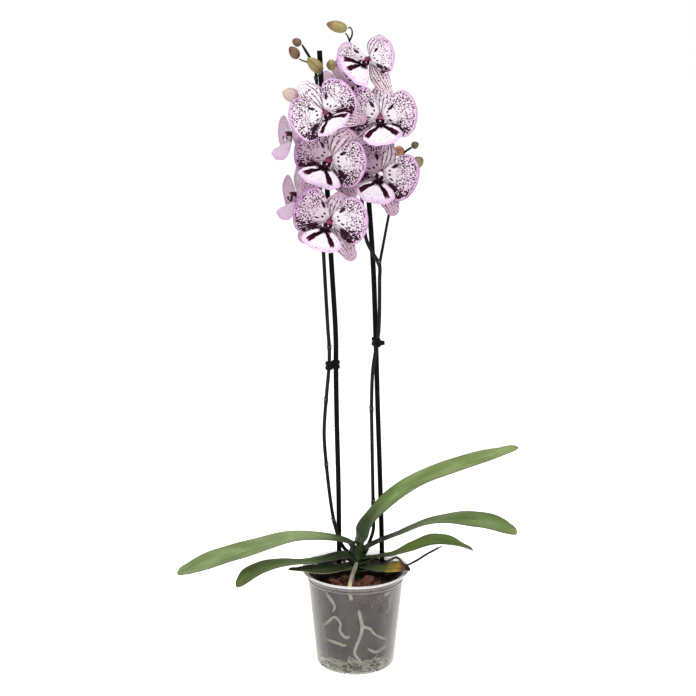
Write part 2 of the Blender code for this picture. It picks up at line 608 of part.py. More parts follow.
def make_clips():
    """Clips: a grooved barrel round the stake and one round the flower stem, bridged."""
    for name, stake, spike, height in (("clip_left", "stake_left", "spike_left", 341.5),
                                       ("clip_right", "stake_right", "spike_right", 367.0)):
        a = stem_at(stake_points(STAKES[stake]), height)
        b = stem_at(spike_points(spike), height)
        bodies = []
        for p, r in ((a, 4.7), (b, 4.0)):
            profile = [(0, height - 4.4), (r, height - 4.4), (r, height - 1.0), (r - 0.8, height - 0.4),
                       (r - 0.8, height + 0.4), (r, height + 1.0), (r, height + 4.4), (0, height + 4.4)]
            bodies.append(revolve("barrel", profile, 10, CLIP, (p.x, p.y)))
        flat = Vector((b.x - a.x, b.y - a.y, 0)).normalized()
        wide = Vector((-flat.y, flat.x, 0)) * 2.2
        z = Vector((0, 0, 3.6))
        box = [a - wide - z, b - wide - z, b + wide - z, a + wide - z,
               a - wide + z, b - wide + z, b + wide + z, a + wide + z]
        for v in box:
            v.z += height - a.z if (v - a).length < (v - b).length else height - b.z
        faces = [(0, 3, 2, 1), (4, 5, 6, 7), (0, 1, 5, 4), (1, 2, 6, 5), (2, 3, 7, 6), (3, 0, 4, 7)]
        bodies.append(solid("bridge", box, faces, CLIP, False))
        if name == "clip_right":
            x, y = b.x + 3.2, b.y
            tab = [(x, y - 1.2, height - 3), (x + 5.2, y - 1.2, height - 2), (x + 5.2, y + 1.2, height - 2),
                   (x, y + 1.2, height - 3), (x, y - 1.2, height + 3), (x + 5.2, y - 1.2, height + 2),
                   (x + 5.2, y + 1.2, height + 2), (x, y + 1.2, height + 3)]
            bodies.append(solid("tab", tab, faces, CLIP, False))
        first, *rest = bodies
        first.name = name
        clip = combine(first, rest, "UNION")
        cut = []
        for line, r in ((stake_points(STAKES[stake]), STAKE_RADIUS), (spike_points(spike), SPIKE_RADIUS)):
            near = [p for p in line if abs(p.z - height) < 110]
            cut.append(tube("hole", near, [r + GAP] * len(near), 12, CLIP))
        combine(clip, cut, "DIFFERENCE")


def petal_reach(angle):
    """Outline of a petal by angle from its axis."""
    a = abs(angle)
    for (a0, r0), (a1, r1) in zip(PETAL_OUTLINE, PETAL_OUTLINE[1:]):
        if a0 <= a <= a1:
            return r0 + (r1 - r0) * (a - a0) / (a1 - a0)
    return PETAL_OUTLINE[-1][1]


def petal_grid(side, lift, angles, rings, wave):
    """Broad fan petal, to the right for side +1 and to the left for -1, gently cupped."""
    axis = math.radians(lift)
    grid = []
    for s in rings:
        row = []
        for degrees in angles:
            reach = PETAL_LENGTH * petal_reach(degrees) * (1.03 if degrees > 0 else 0.98)
            r = 2.4 + (reach - 2.4) * s
            a = axis + math.radians(degrees)
            out = r / PETAL_LENGTH
            y = -1.2 - 3.0 * out ** 2 - 0.8 * math.sin(math.radians(degrees * 4) + wave) * out ** 3
            row.append(Vector((side * r * math.cos(a), y, r * math.sin(a))))
        grid.append(row)
    return grid


def sepal_grid(down, length, width, rows, cols, lift):
    """Elliptic sepal leaving the centre; down is its angle from the upright axis."""
    a = math.radians(down)
    along = Vector((math.sin(a), 0, math.cos(a)))
    across = Vector((math.cos(a), 0, -math.sin(a)))
    grid = []
    for i in range(rows + 1):
        s = i / rows
        w = width * max(0.17, math.sin(math.pi * (0.03 + 0.95 * s)) ** 0.85)
        row = []
        for j in range(cols + 1):
            v = -1 + 2 * j / cols
            y = 1.7 + lift * s * s - 1.2 * (1 - v * v) * math.sin(math.pi * s)
            row.append(along * (3.0 + (length - 3.0) * s) + across * w * v + Vector((0, y, 0)))
        grid.append(row)
    return grid


def place(obj, spec):
    """Scale, turn and set down a bloom piece."""
    turn = bloom_turn(spec)
    at = Vector(spec["at"]) * MM
    for vert in obj.data.vertices:
        vert.co = turn @ (vert.co * spec["size"]) + at
    obj.data.update()


def ball(name, centre, radii, material, levels=1):
    """Rounded lump; its facets are turned out of line with the blades that leave it."""
    work = bmesh.new()
    bmesh.ops.create_icosphere(work, subdivisions=levels, radius=1.0)
    askew = Matrix.Rotation(0.37, 3, "Y") @ Matrix.Rotation(0.23, 3, "X")
    verts = []
    for vert in work.verts:
        co = askew @ vert.co
        verts.append(Vector((co.x * radii[0], co.y * radii[1], co.z * radii[2])) + Vector(centre))
    faces = [tuple(v.index for v in f.verts) for f in work.faces]
    work.free()
    return solid(name, verts, faces, material)


def make_bloom(number, spec):
    """Petals and sepals of one flower as one body, lip and column as another."""
    rng = random.Random(100 + number)
    angles = [-58.5, -51, -35, -12, 12, 35, 51, 58.5]
    body = ball(f"bloom_{number}", (0, 0.4, 0), (5.6, 3.6, 5.6), PETAL, 1)
    blades = []
    for side in (-1, 1):
        grid = petal_grid(side, spec["lift"], angles, (0.0, 0.5, 1.0), rng.uniform(0, 6.28))
        blades.append(plate("blade", grid, BLADE_THICKNESS, PETAL))
    blades.append(plate("blade", sepal_grid(-spec["lean"], spec["dorsal"], 11.5, 4, 2, 2.0),
                        BLADE_THICKNESS, PETAL))
    for side in (-1, 1):
        angle = side * (180 - 43 + rng.uniform(-2, 2))
        blades.append(plate("blade", sepal_grid(angle, 48, 11.5, 4, 2, 3.0), BLADE_THICKNESS, PETAL))
    combine(body, blades, "UNION")
    place(body, spec)

    column = tube(f"lip_{number}", [(0, -3.2, 0.6), (0, -6.6, 0.3), (0, -9.6, -1.2)],
                  [2.5, 3.0, 2.4], 7, LIP)
    swing = Matrix.Rotation(math.radians(spec["lip"]), 3, "Y")
    grid = []
    for s in (0.0, 0.5, 1.0):
        row = []
        for degrees, share in LIP_OUTLINE:
            r = 2.2 + (LIP_REACH * share - 2.2) * s
            a = math.radians(degrees)
            x, z = r * math.sin(a), -r * math.cos(a)
            y = -7.0 - 0.14 * r - 3.0 * (abs(x) / 18) ** 2 - 1.5 * s * s
            row.append(swing @ Vector((x, y, z - 1.6)))
        grid.append(row)
    blade = plate("blade", grid, BLADE_THICKNESS, LIP)
    callus = ball("callus", (0, -7.6, -4.4), (2.6, 2.4, 3.2), LIP)
    combine(column, [blade, callus], "UNION")
    place(column, spec)


def make_strip():
    """Dried sheath strip, narrow and curled."""
    rows = spline(STRIP, 16)
    grid = []
    for p, _, u, v in frames(rows):
        grid.append([p - u * 1.1, p + v * 0.25, p + u * 1.1])
    plate("dry_strip", grid, BLADE_THICKNESS, HUSK)


def make_bud(number, root, tip, radius):
    """Closed bud: full in the middle, blunt at the stalk, drawn to a soft point."""
    root, tip = Vector(root), Vector(tip)
    shares = [(0.0, 0.30), (0.10, 0.66), (0.30, 0.97), (0.52, 1.0), (0.74, 0.80), (0.92, 0.44),
              (1.0, 0.16)]
    rows = [root.lerp(tip, s) for s, _ in shares]
    tube(f"bud_{number}", rows, [radius * k for _, k in shares], 8, BUD)


for old in list(bpy.data.objects):
    bpy.data.objects.remove(old, do_unlink=True)

CLEAR = paint("clear_plastic", (0.62, 0.60, 0.58), 0.25, 0.45)
BARK = paint("bark_chips", (0.14, 0.055, 0.04), 0.85)
ROOT = paint("root_skin", (0.50, 0.47, 0.34), 0.6)
STEM = paint("crown_green", (0.20, 0.30, 0.08), 0.5)
LEAF = paint("leaf_green", (0.12, 0.22, 0.06), 0.4)
STAKE = paint("stake_black", (0.018, 0.018, 0.02), 0.45)
CLIP = paint("clip_black", (0.015, 0.015, 0.015), 0.35)
DARK = paint("stem_dark", (0.03, 0.025, 0.03), 0.5)
PETAL = paint("petal_lilac", (0.80, 0.66, 0.80), 0.5)
LIP = paint("lip_maroon", (0.45, 0.16, 0.30), 0.45)
HUSK = paint("dried_sheath", (0.05, 0.035, 0.02), 0.7)
BUD = paint("bud_green", (0.46, 0.40, 0.16), 0.5)

make_pot()
make_bark()
make_roots()
make_crown()
for leaf_name, shape in LEAVES.items():
    leaf(leaf_name, **shape)
make_strip()
make_stakes()
make_spikes()
make_clips()
for index, bloom in enumerate(BLOOMS, 1):
    make_bloom(index, bloom)
for index, bud in enumerate(BUDS, 1):
    make_bud(index, *bud)
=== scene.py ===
"""Looks of the potted moth orchid: finer pieces over the CAD frame, their materials, light and camera."""
import math
import random

import bmesh
import bpy
import numpy as np
from mathutils import Matrix, Vector


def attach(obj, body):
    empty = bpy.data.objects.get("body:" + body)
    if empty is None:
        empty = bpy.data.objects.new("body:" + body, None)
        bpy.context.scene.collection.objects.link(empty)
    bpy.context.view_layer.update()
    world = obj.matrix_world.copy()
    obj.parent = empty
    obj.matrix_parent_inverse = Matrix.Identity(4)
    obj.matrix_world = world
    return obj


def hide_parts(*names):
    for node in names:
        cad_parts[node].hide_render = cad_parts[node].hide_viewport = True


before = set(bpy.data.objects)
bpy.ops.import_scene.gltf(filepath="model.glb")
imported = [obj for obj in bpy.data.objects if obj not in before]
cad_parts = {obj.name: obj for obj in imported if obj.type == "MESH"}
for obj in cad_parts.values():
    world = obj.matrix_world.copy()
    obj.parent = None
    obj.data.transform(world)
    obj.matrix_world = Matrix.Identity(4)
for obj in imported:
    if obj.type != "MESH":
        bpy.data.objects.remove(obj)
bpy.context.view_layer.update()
scene = bpy.context.scene

# Sizes in millimetres, as in the CAD; origin at the centre of the pot's foot, front is -Y
MM = 0.001
GAP = 0.35
POT_RIM_RADIUS = 60.0
POT_HEIGHT = 110.0
POT_FOOT_RADIUS = 43.9
POT_NECK_RADIUS = 53.4
POT_WALL = 1.0
POT_FLOOR = 1.8
FOOT_SLOTS = 8
BARK_TOP = 97.0
BARK_WALL_SPACE = 5.2
SLOT_TURN = -13.0             # degrees from the front to the first foot slot
# The dark marks on the slots are painted shade
SLOT_PHASE = 0.213            # sets the dark marks of the pot's skin on the slots
CROWN_AXIS = (1.0, -2.0)
CROWN_RADIUS = 7.4
STAKE_RADIUS = 2.75
SPIKE_RADIUS = 2.0
LEAF_THICKNESS = 2.0
BLADE_THICKNESS = 0.9
PETAL_LENGTH = 40.0
ROOT_SINK = 0.35
FULL_TURN = 6.2832
GOLDEN_ANGLE = 2.39996        # radians; spreads points evenly over a disc
GOLDEN_SHARE = 0.61803

# Leaves: spine points, half widths along the spine, roll of the blade (degrees) and fold
LEAVES = {
    "leaf_1": dict(
        spine=[(-0.6, -3, 136.7), (-11, -4.6, 142.2), (-23, -6, 145.4), (-48.6, -10, 148.4),
               (-74, -13, 147.6), (-111.5, -18, 138), (-142.3, -22, 130.1), (-172.1, -24, 121),
               (-198, -22, 111.5)],
        half=[4.6, 7.0, 10, 14.5, 18.5, 21, 20.5, 17.0, 6.0], roll=[8, 4, 2, 0, 0, 3, 6, 12, 20],
        fold=0.16),
    "leaf_2": dict(
        spine=[(-5.3, -7.4, 126.6), (-14.1, -14, 129.5), (-21.8, -18, 129.2), (-39.4, -24, 126.8),
               (-61.3, -30, 126.2), (-83, -35, 126.4), (-102.6, -38, 122.4), (-120.1, -40, 113.3),
               (-131.5, -40, 103.5)],
        half=[4.5, 6.0, 7.5, 9.5, 13, 15.5, 15.5, 14.5, 7.0],
        roll=[16, 16, 12, 0, -8, -4, 4, 14, 22], fold=0.14),
    "leaf_3": dict(
        spine=[(2.4, -4.8, 136.0), (6.6, -7.2, 149), (12.4, -8.4, 162.2), (30.6, -13, 186.6),
               (64.4, -14, 212.0), (100.6, -14, 228), (141.9, -10, 240.8), (179, -4, 250.8)],
        half=[9.0, 11.6, 13.4, 16.5, 19.5, 19, 14.5, 3.0], roll=[44, 44, 36, 18, 8, 6, 8, 12], fold=0.15),
    "leaf_4": dict(
        spine=[(8.3, -0.7, 130.3), (17, 0.5, 135.6), (27.5, 2, 140.2), (50.1, 7, 147.1), (80.8, 13, 156.8),
               (115.1, 18, 158.6), (153.9, 20, 154.3), (184, 18, 144)],
        half=[4.2, 5.4, 6.8, 9.6, 15.5, 18, 17, 7.0], roll=[2, 2, -2, -10, -10, 4, 14, 20],
        fold=0.15),
    "leaf_5": dict(
        spine=[(7.6, -8.6, 123), (24.9, -12, 126.9), (40.4, -15, 129.8), (61.3, -18, 137.4),
               (86.5, -20, 146.2), (109.7, -20, 144.2), (130.8, -16, 135.2)],
        half=[4.2, 5.6, 7.6, 12.5, 14.5, 12, 4], roll=[-10, -8, -4, 4, 4, 2, 0], fold=0.3),
    "leaf_6": dict(
        spine=[(5.8, -10.4, 114.6), (21.6, -16, 113.6), (38.1, -20, 115.9), (51.3, -22, 117.4),
               (60.5, -22, 114.8)],
        half=[4.0, 8.5, 11.5, 9.5, 1.6], roll=[0, 4, 8, 8, 4], fold=0.2),
    "leaf_7": dict(
        spine=[(-4.4, -9.6, 115.2), (-19.6, -20, 115.9), (-37.2, -27, 116.5), (-55.8, -30.5, 118.7),
               (-74.0, -32, 119.3)],
        half=[4.0, 8.0, 9.5, 7.5, 1.6], roll=[6, 12, 12, 6, 0], fold=0.18),
}

# Dried strip of an old leaf sheath that hangs right of the crown
STRIP = [(5.1, -9.1, 119), (10.5, -13.6, 119.6), (22, -17, 121), (31.5, -27, 124.6), (39.3, -31, 131),
         (45.4, -32, 133.2), (50, -33, 129), (53.2, -33.5, 124.4), (65.7, -37, 131.3), (76.4, -40, 139.8),
         (86.1, -42, 146.3), (93.5, -42, 150)]

# Stakes: centre lines from foot to top, slightly bent
STAKES = {
    "stake_left": [(-18.0, 18, 30), (-18.6, 16, 126), (-19.1, 13, 195), (-21, 9.5, 281),
                   (-21.7, 7, 335), (-21.8, 6.4, 372), (-26.8, 5.5, 462), (-38.2, 4, 676)],
    "stake_right": [(31.0, 19, 30), (30.2, 18, 120), (27.4, 14.5, 211), (24.2, 11, 298),
                    (22.1, 9, 363), (18.0, 7, 462), (3.2, 4.5, 640), (0.2, 4, 672)],
}

# Flower stems: centre lines from the crown to the tip
SPIKES = {
    "spike_left": [
        (-4.7, 5.2, 122), (-9, 8.6, 125), (-14, 8.6, 131), (-19.8, 8.2, 144.2), (-25.4, 8, 167),
        (-32.6, 7, 227.2), (-34.9, 6, 264.3), (-32.2, 3.5, 306.8), (-29.9, 1.6, 331.7),
        (-28.9, 1, 347.6), (-28.9, 0.6, 362), (-30.2, 0, 381), (-34.6, -0.6, 462.8),
        (-37.3, -2.5, 521.6), (-39.2, -4, 584.4), (-40.8, -4, 635.7), (-42.2, -4, 654),
        (-45.8, -4, 664.1), (-49.2, -4, 670.5), (-53, -4, 676.5), (-56.3, -3.6, 681.9)],
    "spike_right": [
        (6.7, 5.2, 122), (10.6, 8.6, 126), (15.4, 11, 135), (20.0, 10.5, 150), (19.6, 8, 183),
        (18.1, 6, 256.2), (17.4, 3.5, 296.6), (18.6, 0.5, 336.9), (22.6, -0.4, 364.8),
        (24.9, -0.6, 381.4), (25.4, -2, 436.1), (25.1, -3.4, 452.4), (17.6, -4, 466),
        (10.9, -4, 480.3), (6.3, -4, 521.7), (2, -4, 574), (-2.2, -4, 625.5),
        (-5.9, -4, 666.2), (-6.9, -3.5, 686)],
}
BRANCH_RIGHT = [(25.1, -3.4, 452.4), (30, -1, 478.9), (34.9, 4, 504.2), (40.6, 8, 531.5),
                (46.9, 9, 557.8), (51, 9, 570.5), (56.2, 8, 574.6), (58.6, 7, 576.3)]

# Blooms: centre, roll, yaw, pitch (degrees), petal lift, dorsal lean and length, swing of the
# lip, size, and the stem with the height where the stalk leaves it
BLOOMS = [
    dict(at=(12.4, -45, 665.0), turn=(-5, -20, -2), lift=6, lean=-14, dorsal=33, lip=25, size=0.82,
         stem=("spike_right", 652)),
    dict(at=(-31.7, -50, 613.0), turn=(38, 6, -5), lift=17, lean=5, dorsal=41, lip=-17, size=0.92,
         stem=("spike_left", 598)),
    dict(at=(24.2, -36, 608.2), turn=(-6, 0, -4), lift=13, lean=-2, dorsal=38, lip=-13, size=0.95,
         stem=("spike_right", 596)),
    dict(at=(-26.5, -36, 565.3), turn=(-16, -18, -6), lift=4, lean=-10, dorsal=38, lip=8, size=0.99,
         stem=("spike_left", 552)),
    dict(at=(25.9, -20, 551.0), turn=(-24, -5, -3), lift=11, lean=0, dorsal=36, lip=-6, size=0.99,
         stem=("spike_right", 538)),
    dict(at=(-26.6, -47, 503.6), turn=(-13, -10, -6), lift=14, lean=-6, dorsal=31, lip=9, size=1.0,
         stem=("spike_left", 492)),
    dict(at=(-67.5, 12, 590), turn=(4, -65, 0), lift=10, lean=0, dorsal=36, lip=0, size=0.92,
         stem=("spike_left", 605)),
    dict(at=(-63.5, 17, 526), turn=(4, -65, 0), lift=10, lean=0, dorsal=36, lip=0, size=0.92,
         stem=("spike_left", 536)),
    dict(at=(-20, 21, 646), turn=(8, 172, 0), lift=10, lean=0, dorsal=36, lip=0, size=0.62,
         stem=("spike_right", 632)),
]

# Buds: root and tip of the bud, and its largest radius
BUDS = [
    ((-9.5, -3, 697.3), (-30.6, -4, 702.4), 6.0),
    ((-35.2, -14.4, 653.8), (-50.0, -15.5, 667.6), 6.3),
    ((-57.1, -3.4, 681.9), (-66.0, -3, 686.4), 4.4),
    ((-59.8, -7.5, 667.8), (-68.6, -8, 679.2), 5.4),
    ((-21.8, -1, 661.0), (-31.0, -2, 661.4), 5.8),
    ((-61.0, 4.0, 628.4), (-77.0, 1.0, 633.7), 7.4),
    ((50.4, 2.6, 573.4), (38.8, -1.0, 571.6), 5.4),
    ((58.9, 6.8, 577.1), (66.2, 5.6, 580.6), 4.0),
    ((60.6, 5.0, 556.6), (70.4, 2.5, 565.6), 6.0),
]

# Thin stalks that carry the buds, fused to their stem
STALKS = {
    "spike_left": [
        [(-42.0, -4, 650), (-38.6, -9.5, 650.6), (-35.9, -13.6, 653.6)],
        [(-43.6, -4, 658.5), (-50.5, -3.6, 663.6), (-57.2, -5.6, 666.2), (-59.0, -7.2, 667.0)],
        [(-41.0, -4, 640), (-50, -1, 634), (-60.0, 3.8, 628.2)],
    ],
    "spike_right": [
        [(-6.9, -3.5, 685.4), (-4.4, -3, 691), (-4.4, -2.6, 696), (-6.6, -2.6, 699), (-8.3, -3, 698)],
        [(-6.9, -3.5, 685.4), (-9.2, -3.4, 690.8), (-11.4, -3.2, 693.4)],
        [(-5.2, -4, 659), (-13, -2.4, 660.6), (-20.8, -1.2, 660.9)],
        [(46.9, 9, 557.8), (53, 8, 554.6), (60.0, 5.4, 556)],
        [(50.8, 9, 570.0), (50.8, 6.6, 572.6), (50.7, 5.0, 573.2)],
    ],
}

# Nodes on the flower stems: height, side it faces, bract length
STEM_NODES = {
    "spike_left": [(160.3, -1, 5), (227.2, 1, 4), (301.8, -1, 4), (362, 1, 4), (637, 1, 4),
                   (646, -1, 4)],
    "spike_right": [(182.6, 1, 6), (291.8, -1, 4), (454.7, 1, 3)],
}

# Clips: stake, flower stem and height; radii of the barrels round them
CLIPS = {
    "clip_left": ("stake_left", "spike_left", 341.5),
    "clip_right": ("stake_right", "spike_right", 367.0),
}
STAKE_BARREL, SPIKE_BARREL = 4.7, 4.0

# Roots on the wall: angle round the pot (degrees, 0 in front, + to the right), height, radius
ROOTS = {
    "root_main": [
        [(-7.4, 98, 2.2), (-5.4, 91, 2.1), (3.4, 78.9, 2.1), (6.3, 69.1, 2.1), (8.6, 59.2, 2.0),
         (6.7, 47.1, 1.9), (0.4, 33.6, 1.8), (-1.5, 25.3, 1.7), (5, 18, 1.6), (11.4, 10.9, 1.3)],
        [(8.6, 59.2, 1.8), (20.2, 54.5, 1.7), (28.4, 46.4, 1.6), (43.6, 39, 1.5), (54, 35.2, 1.0)],
        [(6.4, 45, 1.5), (-8.1, 43.3, 1.5), (-16.7, 46.3, 1.5), (-22.4, 52.4, 1.5),
         (-21, 61.7, 1.5), (-29.1, 67.8, 1.6), (-43.8, 57.3, 1.7), (-62.1, 49, 1.2)],
    ],
    "root_low": [
        [(-58, 35, 1.2), (-49.6, 36.4, 1.6), (-30.4, 36.6, 1.6), (-18.7, 34.5, 1.6),
         (-13, 26, 1.5), (-11.7, 17.1, 1.5), (-16.8, 9.2, 1.5), (-43.7, 11.8, 1.4), (-66.6, 10.2, 1.0)],
        [(-11.7, 17.1, 1.3), (-3.5, 11.2, 1.0)],
    ],
    "root_left": [[(-56, 90, 1.4), (-47, 95, 1.8), (-35.1, 89.6, 1.9), (-28.2, 80.1, 1.6),
                   (-32, 73.5, 1.1)]],
    "root_right": [
        [(40, 92, 1.4), (58, 93, 1.8), (65, 82.6, 1.9), (68.7, 56, 1.8), (58, 43.2, 1.1)],
        [(58, 93, 1.5), (51.6, 84.3, 1.6), (51.7, 75.8, 1.5), (45.5, 69, 1.0)],
    ],
    "root_foot": [[(18.4, 30.5, 1.2), (32, 24.3, 1.7), (43.3, 26.0, 1.8), (54.6, 28, 1.8),
                   (66, 28.5, 1.7), (73, 21, 1.6), (60.9, 13.7, 1.5), (27.3, 16.7, 1.0)]],
    "root_rear_1": [[(96, 88, 1.4), (108, 74, 1.9), (124, 66, 1.9), (133, 48, 1.8), (150, 38, 1.7),
                     (163, 22, 1.6), (146, 12, 1.2)],
                    [(133, 48, 1.6), (116, 36, 1.6), (104, 22, 1.5), (90, 12, 1.1)]],
    "root_rear_2": [[(182, 90, 1.4), (196, 76, 1.9), (190, 60, 1.9), (208, 46, 1.8), (226, 40, 1.7),
                     (240, 24, 1.6), (262, 13, 1.1)],
                    [(208, 46, 1.6), (198, 30, 1.5), (204, 14, 1.1)],
                    [(190, 60, 1.5), (222, 66, 1.6), (250, 58, 1.5), (272, 66, 1.1)]],
}
# Stretches of those roots that run hidden behind the chips, as shares of their length
BURIED = {("root_left", 0): (-0.1, 0.34), ("root_main", 0): (0.10, 0.25), ("root_main", 2): (-0.1, 0.16),
          ("root_low", 0): (0.36, 0.64)}
BURIED_DEPTH = 9.5            # how far such a stretch dips inwards
FOOT_ROOTS = 46               # short roots crowded at the foot of the wall
AERIAL_ROOT = [(1.0, -9.9, 117.8), (-0.4, -17, 116), (-2.4, -24, 113.6), (-4.7, -34, 110.0),
               (-6.4, -44.6, 106.4), (-6.6, -48.4, 103.6)]

# Large chips in front of the crown: centre, half sizes, heading and tip-up angle in degrees, shade
BIG_CHIPS = [
    (12.5, -22.0, 103.5, (9.5, 5.0, 5.5), 25, -28, 0.9), (-24.0, -27.0, 102.5, (7.5, 4.5, 3.6), -15, 12, 0.7),
    (-12.0, -20.0, 104.0, (6.5, 4.5, 4.0), 40, 20, 0.3), (2.5, -33.0, 101.5, (6.5, 3.4, 2.6), -10, 5, 0.75),
    (-10.5, -37.0, 101.0, (5.0, 3.0, 2.2), 20, 8, 0.95), (22.0, -32.0, 101.5, (6.5, 4.0, 3.2), 35, -8, 0.5),
    (11.0, 8.0, 104.0, (8.0, 5.0, 4.5), 60, 15, 0.4), (-10.0, 9.0, 103.5, (7.5, 5.0, 4.0), 130, 15, 0.6)]
# Darker ones in the shade right of and behind the crown
SHADED_CHIPS = [
    (19.0, -3.0, 105.5, (8.5, 5.0, 5.0), 20, 10, 0.02), (29.0, 2.0, 106.0, (9.0, 5.5, 5.0), -25, 8, 0.02),
    (38.0, 6.0, 106.0, (7.5, 5.0, 5.0), 30, 12, 0.02), (24.0, 13.0, 106.5, (9.0, 5.0, 5.0), 10, 10, 0.03),
    (35.0, -10.0, 104.5, (8.0, 5.0, 4.0), 50, 6, 0.02), (-20.0, 6.0, 105.5, (9.0, 5.0, 4.6), -20, 8, 0.03),
    (-31.0, 2.0, 105.5, (9.0, 5.0, 4.6), 15, 8, 0.02), (-36.0, -10.0, 104.5, (8.0, 5.0, 4.0), -40, 6, 0.02)]
# How many chips are strewn on the heap, round its edge, behind it and against the wall
HEAP_CHIPS, EDGE_CHIPS, REAR_CHIPS, WALL_CHIPS = 74, 60, 44, 250
# Radius over which the heap is strewn and the largest one kept, and of the rings at the edge and behind
HEAP_RADIUS, HEAP_LIMIT, EDGE_RADIUS, REAR_RADIUS = 46.0, 43.0, 47.2, 48.4

# Drawn outline of a petal: angle from its axis (degrees) and reach as a share of its length
PETAL_OUTLINE = [(0, 1.0), (15, 0.995), (29, 0.975), (40, 0.93), (48, 0.84), (53, 0.70),
                 (57, 0.50), (59, 0.31)]
# Drawn outline of a lip: angle from straight down and reach as a share of its length
LIP_OUTLINE = [(-54, 0.66), (-46, 0.93), (-22, 1.0), (0, 0.97), (22, 1.0), (46, 0.93), (54, 0.66)]
LIP_REACH = 30.0
LIP_SPREAD = 1.12             # the finer lip opens a little wider than the drawn outline
LIP_HALF_ANGLE = 54
PETAL_HALF_ANGLE = 58.5
SEPAL_LENGTH = 48
TURNED_SEPAL_LENGTH = 40      # of a side sepal turned upwards
EDGE_ON = (7, 8)              # flowers seen from the side, smaller and with fainter marks
EDGE_ON_SIZE = 0.84
EDGE_ON_MARKS = 0.3
LOBE_ARM = 40.0               # where the dark arms point in a lip's side lobes, degrees

# Arms of each lip: degrees to the left and right of its axis, 60 for a lip without arms
ARMS = [(50, -20), (44, 46), (48, 42), (42, 27), (48, 34), (38, 30), (60, 60), (60, 60), (38, 34)]
# How pale the cap of each column is
PALE_CAPS = [0.01, 0.03, 0.08, 0.02, 1.0, 0.03, 0.5, 0.5, 0.1]
# Mauve flush of the left and right petal of each bloom: painted shade
SHADE_FLUSH = [(0.0, 0.0), (0.03, 0.12), (0.22, 0.10), (0.66, 0.22), (0.70, 0.30), (0.45, 0.16), (0.40, 0.5),
         (0.6, 0.6), (0.3, 0.3)]
# What differs from flower to flower: turns of single blades in degrees, how wide and how long the lip is, how
# far it tips forward in degrees, the dorsal sepal's tone (0 greyish, partly painted shade, -1 whitest) and
# half width
FINE_NAMES = ("lip", "left_petal", "right_petal", "dorsal", "left_sepal", "right_sepal",
              "wide", "long", "tip", "tone", "dorsal_width")
FINE = {
    1: (14, -20, 8, 14, 0, 5, 1.10, 0.90, 0, -0.8, 12.5), 2: (20, 0, -9, 2, -38, 0, 0.98, 0.61, 0, -1.0, 14),
    3: (-1, 0, 0, -2, 0, -38, 1.0, 0.86, 0, -1.0, 13), 4: (-7, 5, 0, 15, 13, 0, 1.12, 0.78, 0, 0.0, 19),
    5: (-9, 0, 0, -14, 0, 0, 0.96, 0.90, 0, 0.0, 13), 6: (-8, 0, 0, 6, 0, 0, 1.0, 0.86, 0, 0.0, 12.5),
    7: (0, -6, 0, 0, -38, -38, 1.25, 0.78, 14, 0.0, 12), 8: (0, -4, 0, 0, -38, -38, 1.25, 0.78, 14, 0.0, 12),
    9: (0, 0, -24, 0, 0, 0, 1.0, 1.0, 0, 0.0, 12)}
# Sizes of the left and right petal where they aren't alike
PETAL_SIZES = {1: (1.0, 0.87), 2: (1.0, 0.96), 9: (1.0, 0.74)}
LEFT_SEPALS = {6: 41.0}       # length of the lower left sepal where it is shorter
# Shifts of single lips before the flower is turned and set down
LIP_SHIFTS = {5: (-1.0, 0, -1.5), 6: (-2.0, 0, -1.5), 4: (-2.0, 0, -1.5), 7: (0, 3.6, -3.0),
              8: (0, 3.6, -3.0)}


# Numbers for shapes

def spline(points, count):
    """Even samples of a smooth curve through the points; values may have any length."""
    rows = np.array(points, float)
    hops = np.linalg.norm(np.diff(rows[:, :3], axis=0), axis=1)
    knots = np.concatenate([[0.0], np.cumsum(np.maximum(hops, 1e-6) ** 0.5)])
    first = 2 * rows[0] - rows[1]
    last = 2 * rows[-1] - rows[-2]
    full = np.vstack([first, rows, last])
    times = np.concatenate([[2 * knots[0] - knots[1]], knots, [2 * knots[-1] - knots[-2]]])
    fine = []
    for k in range(len(rows) - 1):
        p0, p1, p2, p3 = full[k:k + 4]
        t0, t1, t2, t3 = times[k:k + 4]
        for u in np.arange(24) / 24:
            t = t1 + (t2 - t1) * u
            a1 = ((t1 - t) * p0 + (t - t0) * p1) / (t1 - t0)
            a2 = ((t2 - t) * p1 + (t - t1) * p2) / (t2 - t1)
            a3 = ((t3 - t) * p2 + (t - t2) * p3) / (t3 - t2)
            b1 = ((t2 - t) * a1 + (t - t0) * a2) / (t2 - t0)
            b2 = ((t3 - t) * a2 + (t - t1) * a3) / (t3 - t1)
            fine.append(((t2 - t) * b1 + (t - t1) * b2) / (t2 - t1))
    fine = np.array(fine + [rows[-1]])
    run = run_of(fine[:, :3])
    want = np.linspace(0, run[-1], count)
    return np.stack([np.interp(want, run, fine[:, k]) for k in range(fine.shape[1])], axis=1)


def unit(v):
    """Vectors scaled to length one."""
    return v / np.maximum(np.linalg.norm(v, axis=-1, keepdims=True), 1e-9)


def step(x, low, high):
    """Smooth rise from 0 to 1."""
    t = np.clip((np.asarray(x, float) - low) / (high - low), 0, 1)
    return t * t * (3 - 2 * t)


def joined(x, y, z):
    """Three values spread over a shared grid, as points."""
    return np.stack(np.broadcast_arrays(x, y, z), axis=-1)


def run_of(points):
    """Length along a line of points, from its start."""
    return np.concatenate([[0], np.cumsum(np.linalg.norm(np.diff(points, axis=0), axis=1))])


def spread(line, u, x, v, y):
    """Grid of points off a line: x along the directions u and y along the directions v."""
    return line[:, None] + u[:, None] * x[..., None] + v[:, None] * y[..., None]


def spin(angle, axis):
    """Rotation about an axis."""
    return Matrix.Rotation(angle, 3, axis)


def round_axis(reach, angle, z):
    """Point at an angle round the pot's axis, 0 in front and positive to the right."""
    return (reach * math.sin(angle), -reach * math.cos(angle), z)


